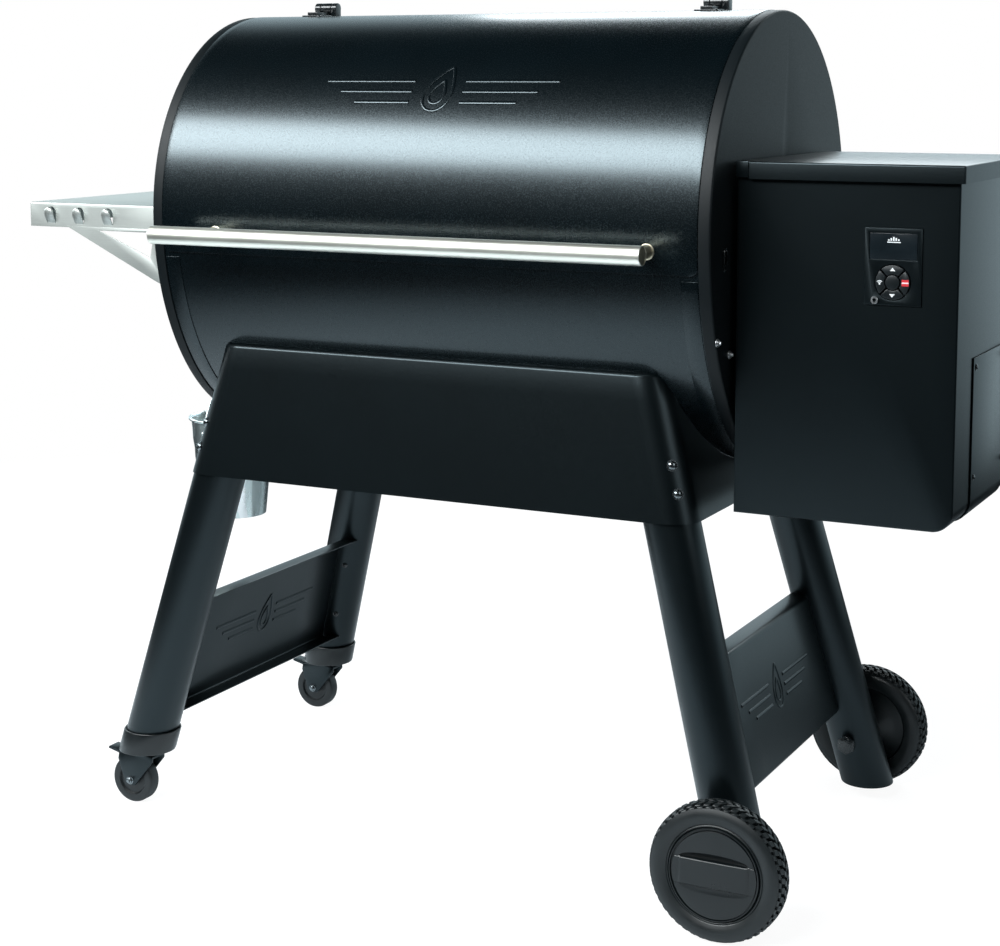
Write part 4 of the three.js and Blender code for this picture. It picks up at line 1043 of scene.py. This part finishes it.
def build_caster(name):
    for part, bevel in (("socket", 1.2), ("fork", 1.0), ("brake", 0.8)):
        refined(f"caster_{part}_{name}", bevel, crease=50)
    low, high = span(f"caster_wheel_{name}")
    centre = (low + high) / 2
    radius, half, shoulder = (high.x - low.x) / 2, (high.y - low.y) / 2, 4
    profile = [(4.4, -half), (9, -half), (9.6, -half + 3), (21, -half + 3.6), (23, -half + 0.6)]
    profile += [(23 + (radius - 25) * share, -half + 0.2 + 0.5 * share ** 2) for share in (0.25, 0.5, 0.75)]
    for a in even(-1.4, -0.1, 4):
        profile.append((radius - shoulder + shoulder * math.cos(a), -half + 4.5 + shoulder * math.sin(a)))
    mirrored = [(r, -h) for r, h in reversed(profile)]
    wheel = shape(lathe, profile + mirrored, centre, (0, 1, 0), 64, True)
    standing_for(f"caster_wheel_{name}", wheel, crease=35)
    nuts = bmesh.new()
    fork_y = centre_of(f"caster_fork_{name}").y
    for face in (-1, 1):
        hex_nut(nuts, (centre.x, fork_y + face * 15.4, centre.z), (0, face, 0), 5, 4)
    piece(f"caster_nuts_{name}", nuts, f"fork_{name}", "zinc_plated", look=DARK_NICKEL, bevel=0.3)


# ---------------------------------------------------------------- hopper

BOX_LOW, BOX_HIGH = Vector((431 + MID_X, -201, 519)), Vector((715 + MID_X, 165, 951))
BOX_WALL, BOX_CORNER = 1.5, 27.0


def hopper_outline(offset, top):
    """The hopper seen from the front, with its lower right corner rounded, grown by an offset."""
    left, right, bottom = BOX_LOW.x - offset, BOX_HIGH.x + offset, BOX_LOW.z - offset
    radius = BOX_CORNER + offset
    corner = arc((right - radius, bottom + radius), radius, -90, 0, 14)
    return [(left, top), (left, bottom)] + corner + [(right, top)]


def soften(bm, amount, chosen, segments=3):
    """Rounds the edges that a test picks."""
    tidied(bm)
    edges = [edge for edge in bm.edges if chosen(edge)]
    bmesh.ops.bevel(
        bm, geom=edges, offset=amount, segments=segments,
        profile=0.5, affect="EDGES", clamp_overlap=True,
    )
    return bm


def around(node, gap=SEAM):
    """The (x, z) ranges of a node's box, grown by a gap."""
    low, high = span(node)
    return (low.x - gap, high.x + gap), (low.z - gap, high.z + gap)


def build_hopper():
    outside = shape(prism, hopper_outline(0, BOX_HIGH.z), "y", BOX_LOW.y, BOX_HIGH.y)

    def on_face(edge):
        if min(v.co.z for v in edge.verts) >= BOX_HIGH.z - 1:
            return False
        return any(all(abs(v.co.y - y) < 0.01 for v in edge.verts) for y in (BOX_LOW.y, BOX_HIGH.y))

    soften(outside, 2.5, on_face)
    panel_x, panel_z = around("control_panel")
    inlet_x, inlet_z = around("power_inlet")
    fan_x = centre_of("fan_frame").x
    front, back = (BOX_LOW.y - 5, BOX_LOW.y + 5), (BOX_HIGH.y - 5, BOX_HIGH.y + 5)
    duct = ((-106, 106), (564, 856))
    hollow = hopper_outline(-BOX_WALL, BOX_HIGH.z + 50)
    bm = carve(
        outside,
        shape(prism, hollow, "y", BOX_LOW.y + BOX_WALL, BOX_HIGH.y - BOX_WALL),
        shape(block, panel_x, front, panel_z),
        shape(block, inlet_x, back, inlet_z),
        shape(rod, 40, (fan_x, 0, BOX_LOW.z - 5), (fan_x, 0, BOX_LOW.z + 5), 48),
        shape(block, (MID_X + 415, BOX_LOW.x + BOX_WALL + 1), *duct),
    )
    standing_for("hopper_box", bm, crease=30)

    ring = carve(
        shape(block, (MID_X + END_X + SEAM, BOX_LOW.x + 0.2), (-110, 110), (560, 860)),
        shape(block, (MID_X + 400, BOX_LOW.x + 5), *duct),
    )
    piece("hopper_collar", ring, "frame", "satin_black", bevel=0.3)

    lid_low, lid_high = span("hopper_lid")
    left, right = BOX_LOW.x, BOX_LOW.x + 17
    strip = carve(
        shape(block, (left, right), (lid_low.y, BOX_HIGH.y), (BOX_HIGH.z - 1, lid_high.z)),
        shape(block, (left + BOX_WALL, right - BOX_WALL), (lid_low.y + BOX_WALL, BOX_HIGH.y - BOX_WALL),
              (BOX_HIGH.z - 9, lid_high.z - BOX_WALL)),
    )
    piece("hopper_strip", strip, "frame", "satin_black", bevel=0.8)

    guard = bmesh.new()
    guard_z, wire, reach = BOX_LOW.z - 1.2, 1.1, 42
    middle = Vector((fan_x, 0, guard_z))
    for angle in range(0, 180, 45):
        across = Vector((math.cos(math.radians(angle)), math.sin(math.radians(angle)), 0)) * reach
        rod(guard, wire, middle - across, middle + across, 10)
    for radius in (14, 24, 34, reach):
        circle = arc((fan_x, 0), radius, 0, 350, 35)
        tube(guard, [(x, y, guard_z) for x, y in circle], wire, 8, loop=True)
    piece("intake_guard", guard, "frame", "zinc_plated", look=BOLT_BLACK)


def build_hopper_hinges():
    """Ears and pins on the box, knuckles and straps on the lid."""
    axis_y, axis_z, radius, width = 171.0, 961.0, 8.0, 30.0
    bore, half = 4.1, width / 4 - 0.6
    ears, knuckles = bmesh.new(), bmesh.new()
    for x in (MID_X + 505, MID_X + 665):
        for side in (-1, 1):
            low, high = sorted((x + side * width / 4, x + side * width / 2))
            rod(ears, radius, (low, axis_y, axis_z), (high, axis_y, axis_z), 28)
            block(ears, (low, high), (BOX_HIGH.y - 0.5, axis_y + 7), (935, axis_z))
            dome_bolt(ears, (high if side > 0 else low, axis_y, axis_z), (side, 0, 0), 3.2, 1.2)
        profile = [(bore, -half), (radius, -half), (radius, half), (bore, half)]
        lathe(knuckles, profile, (x, axis_y, axis_z), (1, 0, 0), 28, loop=True)
        block(knuckles, (x - half, x + half), (141, axis_y - 4), (965.8, 968.8))
        rod(ears, 3.6, (x - width / 2 + 1, axis_y, axis_z), (x + width / 2 - 1, axis_y, axis_z), 16)
    piece("hopper_hinge_ears", ears, "frame", "satin_black", bevel=0.4)
    piece("hopper_hinge_knuckles", knuckles, "hopper_cover", "satin_black", bevel=0.4)


def build_hopper_lid():
    low, high = span("hopper_lid")
    left, rear, wall = MID_X + 448.6, 161.0, 1.6
    outer = shape(block, (left, high.x), (low.y, rear), (low.z, high.z))
    top_or_corner = lambda edge: (
        min(v.co.z for v in edge.verts) > high.z - 0.01 and max(v.co.x for v in edge.verts) > left + 1
        or all(abs(v.co.x - high.x) < 0.01 and abs(v.co.y - low.y) < 0.01 for v in edge.verts)
    )
    soften(outer, 2.6, top_or_corner)
    hollow = shape(block, (left - 5, high.x - wall), (low.y + wall, rear + 5), (low.z - 5, high.z - wall))
    standing_for("hopper_lid", carve(outer, hollow), crease=30)
    seal = bmesh.new()
    seal_z = (high.z - 4.6, high.z - wall + 0.1)
    block(seal, (left + 6, left + 16), (-190, 150), seal_z)
    block(seal, (left + 6, high.x - 14), (140, 150), seal_z)
    piece("hopper_lid_seal", seal, "hopper_cover", "caster_rubber", bevel=1.0)


def build_hatch():
    """Service panel on the right side, following the rounded bottom edge, with its screws."""
    low, high = span("hopper_side_panel")
    grids = []
    for offset in (2.4, 0.4):
        outline = hopper_outline(offset, high.z)[2:]
        curve = [point for point in outline if point[0] > low.x - 0.5]
        grids.append([[(x, y, z) for y in even(low.y, high.y, 2)] for x, z in curve])
    bm = bmesh.new()
    count = min(len(grids[0]), len(grids[1]))
    sheet(bm, grids[0][-count:], grids[1][-count:])
    standing_for("hopper_side_panel", bm, bevel=0.5, crease=50)
    screws = bmesh.new()
    for y in (low.y + 10, high.y - 10):
        for z in (high.z - 12, 575):
            dome_bolt(screws, (BOX_HIGH.x + 2.3, y, z), (1, 0, 0), 3.6, 1.8)
    piece("hatch_screws", screws, "frame", "zinc_plated", look=BOLT_BLACK)


# ---------------------------------------------------------------- controls


def build_controls():
    refined("control_panel", 0.3, crease=50, look=LOOKS["satin_black"])
    refined("display_lens", 0.3)
    for name in ("right", "up", "left", "down", "centre"):
        refined(f"button_{name}", 0.5, crease=50)
    low, high = span("button_centre")
    mid_x, mid_z = (low.x + high.x) / 2, (low.z + high.z) / 2
    ring_face = span("button_up")[0].y

    def mark(name, outline, body, look, depth=0.25, lift=0.0):
        bm = bmesh.new()
        prism(bm, outline, "y", ring_face - depth - lift, ring_face + 0.2)
        piece(name, bm, body, "button_plastic", look=look)

    arrow = 3.4
    for name, way in (("up", 1), ("down", -1)):
        middle = mid_z + way * 16
        foot = middle - way * 1.9
        outline = [(mid_x - arrow, foot), (mid_x + arrow, foot), (mid_x, middle + way * 2.3)]
        mark(f"icon_{name}", outline, f"key_{name}", WHITE_INK)
    wave_x = mid_x - 16
    mark("icon_left_dot", arc((wave_x, mid_z - 2.2), 1.1, 0, 330, 11), "key_left", WHITE_INK)
    wave_centre = (wave_x, mid_z - 2.4)
    for radius in (3.0, 4.8):
        outline = arc(wave_centre, radius, 45, 135, 8) + arc(wave_centre, radius - 1.0, 135, 45, 8)
        mark(f"icon_left_arc_{int(radius)}", outline, "key_left", WHITE_INK)
    bar_x = mid_x + 16
    bar = rounded_rectangle(bar_x - 4.4, bar_x + 4.4, mid_z - 4, mid_z + 4, 0.8, 2)
    mark("icon_right_bar", bar, "key_right", RED_INK)
    line = rounded_rectangle(bar_x - 4.4, bar_x + 4.4, mid_z - 0.9, mid_z + 0.9, 0.4, 2)
    mark("icon_right_line", line, "key_right", PINK_INK, lift=0.15)

    lens_low, lens_high = span("display_lens")
    badge = bmesh.new()
    middle = (lens_low.x + lens_high.x) / 2
    top = lens_high.z - 7
    for i, height in enumerate((1.6, 3.2, 4.8, 3.6, 2.2)):
        x = middle - 7 + 3.1 * i
        block(badge, (x, x + 1.9), (lens_low.y - 0.15, lens_low.y + 0.1), (top - 2, top - 2 + height))
    block(badge, (middle - 8, middle + 9), (lens_low.y - 0.15, lens_low.y + 0.1), (top - 4.4, top - 3.2))
    piece("display_bars", badge, "frame", "display_window", look=WHITE_INK)

    jack = bmesh.new()
    jack_x, jack_z = MID_X + 612, 803.0
    panel_face = -204.0
    lathe(jack, [(2.2, -0.5), (4.7, -0.5), (4.7, 0.9), (4.2, 1.4), (2.6, 1.4), (2.2, 0.8)],
          (jack_x, panel_face - 0.1, jack_z), (0, -1, 0), 32, loop=True)
    piece("probe_jack_ring", jack, "frame", "zinc_plated")
    refined("power_inlet", 0.8, crease=50)
    refined("power_switch", 0.5, crease=50)


# ---------------------------------------------------------------- shelf and bucket


def build_shelf():
    low, high = span("side_shelf")
    fascia, thick = 36.0, 1.6
    outer = shape(block, (low.x, high.x), (low.y, high.y), (high.z - fascia, high.z))
    left_or_top = lambda edge: not (
        all(abs(v.co.x - high.x) < 0.01 for v in edge.verts)
        or all(abs(v.co.z - high.z + fascia) < 0.01 for v in edge.verts)
    )
    soften(outer, 2.4, left_or_top)
    hook_xs = [MID_X + x for x in (-637, -585, -532)]
    hook_z, half, tall = high.z - 30.0, 8.5, 24.0

    def arch(x, grow=0.0):
        """An upright arch: square at its foot and round at its top."""
        width = half + grow
        crown = hook_z + tall - half
        return [(x - width, hook_z)] + arc((x, crown), width, 180, 0, 14) + [(x + width, hook_z)]

    holes = [shape(prism, arch(x), "y", low.y - 5, low.y + 5) for x in hook_xs]
    hollow = shape(block, (low.x + thick, high.x + 5), (low.y + thick, high.y - thick),
                   (high.z - fascia - 5, high.z - thick))
    top = carve(outer, hollow, *holes)
    standing_for("side_shelf", top, crease=30)

    tongues = bmesh.new()
    for x in hook_xs:
        rows = []
        for offset in (0.0, 1.5):
            grid = []
            for step in range(13):
                share = step / 12
                z = hook_z + share * (tall - 1)
                crown = hook_z + tall - half
                width = half - 0.8
                if z > crown:
                    width = math.sqrt(max(0.01, (half - 0.8) ** 2 - (z - crown) ** 2))
                grid.append([
                    (x + width * u, low.y - 9.5 * math.sin(share * 1.9) * (1 - 0.25 * u * u) + offset, z)
                    for u in even(-1, 1, 8)
                ])
            rows.append(grid)
        sheet(tongues, *rows)
    piece("shelf_hooks", tongues, "frame", "stainless", crease=50)

    wall_x = high.x
    under = high.z - fascia
    for side, name in FACES:
        face = side * (high.y - thick / 2)
        outline = [(MID_X - 609, under + 2), (MID_X - 447, under - 74)]
        outline += [(wall_x, under - 83), (wall_x, under + 2)]
        window = [(MID_X - 549, under - 3), (MID_X - 461, under - 38), (MID_X - 457, under - 37)]
        window += [(MID_X - 451, under - 8), (MID_X - 453, under - 4), (MID_X - 457, under - 3)]
        y0, y1 = sorted((face - 1.0, face + 0.8))
        bracket = carve(shape(prism, outline, "y", y0, y1), shape(prism, window, "y", y0 - 3, y1 + 3))
        piece(f"shelf_bracket_{name}", bracket, "frame", "stainless", bevel=0.4)
        tab = bmesh.new()
        y0, y1 = sorted((face - side * 1.0, face - side * 24))
        block(tab, (wall_x - 2, wall_x), (y0, y1), (under - 82, under - 4))
        for z in (under - 64, under - 24):
            dome_bolt(tab, (wall_x - 2, face - side * 13, z), (-1, 0, 0), 5, 3)
        piece(f"shelf_bracket_tab_{name}", tab, "frame", "stainless", bevel=0.4)


def build_bucket():
    low, high = span("grease_bucket")
    centre_x = (low.x + high.x) / 2
    rim = (high.x - low.x) / 2
    foot, wall = 50.0, 1.2
    height = high.z - low.z
    rows = even(0, 1, 10)
    slope = lambda share: foot + (rim - 4.5 - foot) * share
    outer = [(slope(s) + (0.9 if i in (6, 8) else 0.0), height * s * 0.97) for i, s in enumerate(rows)]
    curl = [(rim - 2.4 + 2.4 * math.cos(a), height - 2.4 + 2.4 * math.sin(a)) for a in even(-2.2, 2.6, 9)]
    inner = [(slope(s) - wall, 1.5 + (height * 0.97 - 1.5) * s) for s in reversed(rows)]
    profile = [(0, 3), (foot - 4, 3), (foot - 3, 0), (foot, 0)] + outer[1:] + curl + inner + [(0, 4.5)]
    bm = bmesh.new()
    lathe(bm, profile, (centre_x, 0, low.z), (0, 0, 1), 72)
    standing_for("grease_bucket", bm, crease=40)
    ears = bmesh.new()
    ear_z = 528.0
    ear = [(2.4, -2.6), (7, -2.6), (7.5, -1.2), (7.5, 0.6), (2.4, 0.6)]
    for side, _ in FACES:
        lathe(ears, ear, (centre_x, side * 69.6, ear_z), (0, side, 0), 28, loop=True)
        for dx in (-12, 12):
            dome_bolt(ears, (centre_x + dx, side * 65.2, ear_z - 4), (0, side, 0.1), 2.4, 1.2)
    piece("bucket_ears", ears, "bucket", "galvanised", bevel=0.3)

    bail_low, bail_high = span("bucket_bail")
    wire = (bail_high.x - bail_low.x) / 2
    reach = bail_high.y - wire
    x = (bail_low.x + bail_high.x) / 2
    hoop = [(x, reach * math.cos(a), ear_z + reach * math.sin(a)) for a in even(0, math.pi, 40)]
    hoop = [(x, 68.5, ear_z)] + hoop + [(x, -68.5, ear_z)]
    bail = bmesh.new()
    tube(bail, hoop, wire, 12)
    standing_for("bucket_bail", bail, crease=60)


# ---------------------------------------------------------------- inside


def build_grate(node, count, bar_radius):
    """A welded grate of round rods on two cross bars, inside a round-bar rim."""
    low, high = span(node)
    mid_z = (low.z + high.z) / 2
    rim = 3.0
    bm = bmesh.new()
    outline = rounded_rectangle(low.x + rim, high.x - rim, low.y + rim, high.y - rim, 14, 5)
    tube(bm, [(x, y, mid_z) for x, y in outline], rim, 12, loop=True)
    for share in (0.27, 0.73):
        y = low.y + (high.y - low.y) * share
        rod(bm, 2.4, (low.x + rim, y, low.z + 2.4), (high.x - rim, y, low.z + 2.4), 12)
    for i in range(1, count):
        x = low.x + rim + (high.x - low.x - 2 * rim) * i / count
        rod(bm, bar_radius, (x, low.y + rim, high.z - bar_radius), (x, high.y - rim, high.z - bar_radius), 10)
    standing_for(node, bm, crease=50)


def build_inside():
    build_grate("grill_grate", 46, 2.2)
    build_grate("upper_rack", 38, 1.9)
    refined("hopper_bin", 0.4, crease=40)
    refined("auger_motor", 1.0)
    refined("auger_tube", 0.4, crease=50)
    refined("fan_frame", 1.2, crease=50)
    refined("fire_pot", 0.8, crease=50)
    refined("heat_baffle", 0.5)
    refined("drip_tray", 0.5)
    for node in ("auger_screw", "fan_rotor"):
        thing = frame["nodes"][node]
        thing.data.materials.clear()
        thing.data.materials.append(LOOKS[SLOT_OF[node]])


# ---------------------------------------------------------------- stage, light and camera


def area_light(name, at, target, size, power, color=(1, 1, 1)):
    data = bpy.data.lights.new(name, "AREA")
    data.shape = "RECTANGLE"
    data.size, data.size_y = size
    data.energy = power
    data.color = color
    thing = bpy.data.objects.new(name, data)
    thing.location = at
    thing.rotation_euler = (Vector(target) - Vector(at)).to_track_quat("-Z", "Y").to_euler()
    thing.visible_camera = False
    bpy.context.scene.collection.objects.link(thing)
    return thing


def build_floor():
    """A pale floor that fades to plain white at its rim."""
    radius = 3.4
    bm = bmesh.new()
    rings = [[(r * math.cos(a), r * math.sin(a), 0.0) for a in even(0, 2 * math.pi, 96)[:-1]]
             for r in (0.02, 0.8, 1.6, 2.4, radius)]
    loft(bm, rings, caps=False)
    bm.faces.new(bm.verts[:96])
    mesh = bpy.data.meshes.new("floor")
    bm.to_mesh(mesh)
    bm.free()
    floor = bpy.data.objects.new("floor", mesh)
    bpy.context.scene.collection.objects.link(floor)

    nodes = Nodes("floor_paper")
    add = nodes.tree.nodes.new
    nodes.shader.inputs["Roughness"].default_value = 0.9
    nodes.shader.inputs["Specular IOR Level"].default_value = 0.0
    nodes.shader.inputs["Emission Color"].default_value = (1, 1, 1, 1)
    nodes.shader.inputs["Emission Strength"].default_value = 0.93
    nodes.link(nodes.shades(nodes.noise(3, 3), (0.15, 0.152, 0.154), (0.17, 0.172, 0.174)),
               nodes.shader.inputs["Base Color"])
    distance = add("ShaderNodeVectorMath")
    distance.operation = "LENGTH"
    nodes.link(nodes.place, distance.inputs[0])
    reflected = add("ShaderNodeBsdfDiffuse")
    # Reflections and bounced light see a painted pool of light on the floor: pale within 0.9 m of the middle,
    # fading to near black by 1.7 m.
    pool = nodes.spread(distance.outputs["Value"], 0.0, 1.0, 0.9, 1.7)
    lit, unlit = (0.74, 0.80, 0.84), (0.02, 0.022, 0.024)
    nodes.link(nodes.shades(pool, lit, unlit, 0.0, 1.0), reflected.inputs["Color"])
    fade = nodes.spread(distance.outputs["Value"], 0.0, 1.0, 1.6, 3.0)
    glow = add("ShaderNodeEmission")
    edge, seen = add("ShaderNodeMixShader"), add("ShaderNodeMixShader")
    nodes.link(fade, edge.inputs["Fac"])
    nodes.link(nodes.shader.outputs["BSDF"], edge.inputs[1])
    nodes.link(glow.outputs["Emission"], edge.inputs[2])
    nodes.link(add("ShaderNodeLightPath").outputs["Is Camera Ray"], seen.inputs["Fac"])
    nodes.link(reflected.outputs["BSDF"], seen.inputs[1])
    nodes.link(edge.outputs["Shader"], seen.inputs[2])
    nodes.link(seen.outputs["Shader"], nodes.tree.nodes["Material Output"].inputs["Surface"])
    mesh.materials.append(nodes.material)


def build_world():
    """White behind the object; reflections and light see a dark room with a white backdrop."""
    world = bpy.data.worlds.new("studio")
    bpy.context.scene.world = world
    world.use_nodes = True
    tree = world.node_tree
    add, link = tree.nodes.new, tree.links.new

    def ramp(value, from_low, from_high, low, high):
        node = add("ShaderNodeMapRange")
        names = ("From Min", "From Max", "To Min", "To Max")
        for name, number in zip(names, (from_low, from_high, low, high)):
            node.inputs[name].default_value = number
        link(value, node.inputs["Value"])
        return node.outputs["Result"]

    split = add("ShaderNodeSeparateXYZ")
    link(add("ShaderNodeTexCoord").outputs["Generated"], split.inputs["Vector"])
    behind = ramp(split.outputs["Y"], 0.0, 0.6, 0.0, 1.0)
    below = ramp(split.outputs["Z"], -0.26, -0.12, 0.0, 1.0)
    above = ramp(split.outputs["Z"], 0.42, 0.68, 1.0, 0.0)
    share = behind
    for other in (below, above):
        multiply = add("ShaderNodeMath")
        multiply.operation = "MULTIPLY"
        link(share, multiply.inputs[0])
        link(other, multiply.inputs[1])
        share = multiply.outputs["Value"]
    strength = ramp(share, 0.0, 1.0, 0.012, 0.95)
    room = tree.nodes["Background"]
    room.inputs["Color"].default_value = (0.72, 0.92, 1.0, 1)
    link(strength, room.inputs["Strength"])
    backdrop = add("ShaderNodeBackground")
    backdrop.inputs["Color"].default_value = (1, 1, 1, 1)
    mix = add("ShaderNodeMixShader")
    link(add("ShaderNodeLightPath").outputs["Is Camera Ray"], mix.inputs["Fac"])
    link(room.outputs["Background"], mix.inputs[1])
    link(backdrop.outputs["Background"], mix.inputs[2])
    link(mix.outputs["Shader"], tree.nodes["World Output"].inputs["Surface"])


CAMERA_AT = (1.2912, -2.607, 1.0784)
CAMERA_YAW, CAMERA_TILT = 26.86, 6.754
CAMERA_LENS, CAMERA_SHIFT_Y = 72.59, -0.16


def build_camera():
    data = bpy.data.cameras.new("camera")
    data.lens = CAMERA_LENS
    data.sensor_width = 36
    data.shift_y = CAMERA_SHIFT_Y
    camera = bpy.data.objects.new("camera", data)
    camera.location = CAMERA_AT
    camera.rotation_euler = (math.radians(90 - CAMERA_TILT), 0, math.radians(CAMERA_YAW))
    bpy.context.scene.collection.objects.link(camera)
    bpy.context.scene.camera = camera


def build_lights():
    strip = (-1.45, -2.55, 2.85)
    area_light("band_softbox", strip, (-0.74, -0.25, 0.98), (4.4, 1.1), 300, (0.93, 0.98, 1.0))
    area_light("right_fill", (3.2, -0.6, 1.9), (0.6, 0.0, 0.8), (1.2, 1.6), 14, (0.9, 0.97, 1.0))
    area_light("left_fill", (-3.2, 0.4, 1.7), (-0.4, 0.0, 0.8), (1.4, 1.4), 24, (0.9, 0.97, 1.0))
    area_light("back_fill", (-0.3, 3.2, 2.6), (0.0, 0.2, 0.8), (3.0, 1.0), 50, (0.9, 0.97, 1.0))


# ---------------------------------------------------------------- everything

build_camera()
build_world()
build_floor()
build_lights()

build_barrel()
build_hood()
build_lid()
build_end_caps()
build_spout()
build_hinges()
build_handle()
build_legs()
for side, name in FACES:
    build_skirt(side, name)
    build_tyre(name, side)
    build_hub(name, side)
    refined(f"axle_bolt_{name}", 0.8, look=BOLT_BLACK)
    build_caster(name)
for side, name in SIDES:
    build_brace(side, name)
build_hopper()
build_hopper_hinges()
build_hopper_lid()
build_hatch()
build_controls()
build_shelf()
build_bucket()
build_inside()

bpy.context.scene.view_settings.view_transform = "Standard"
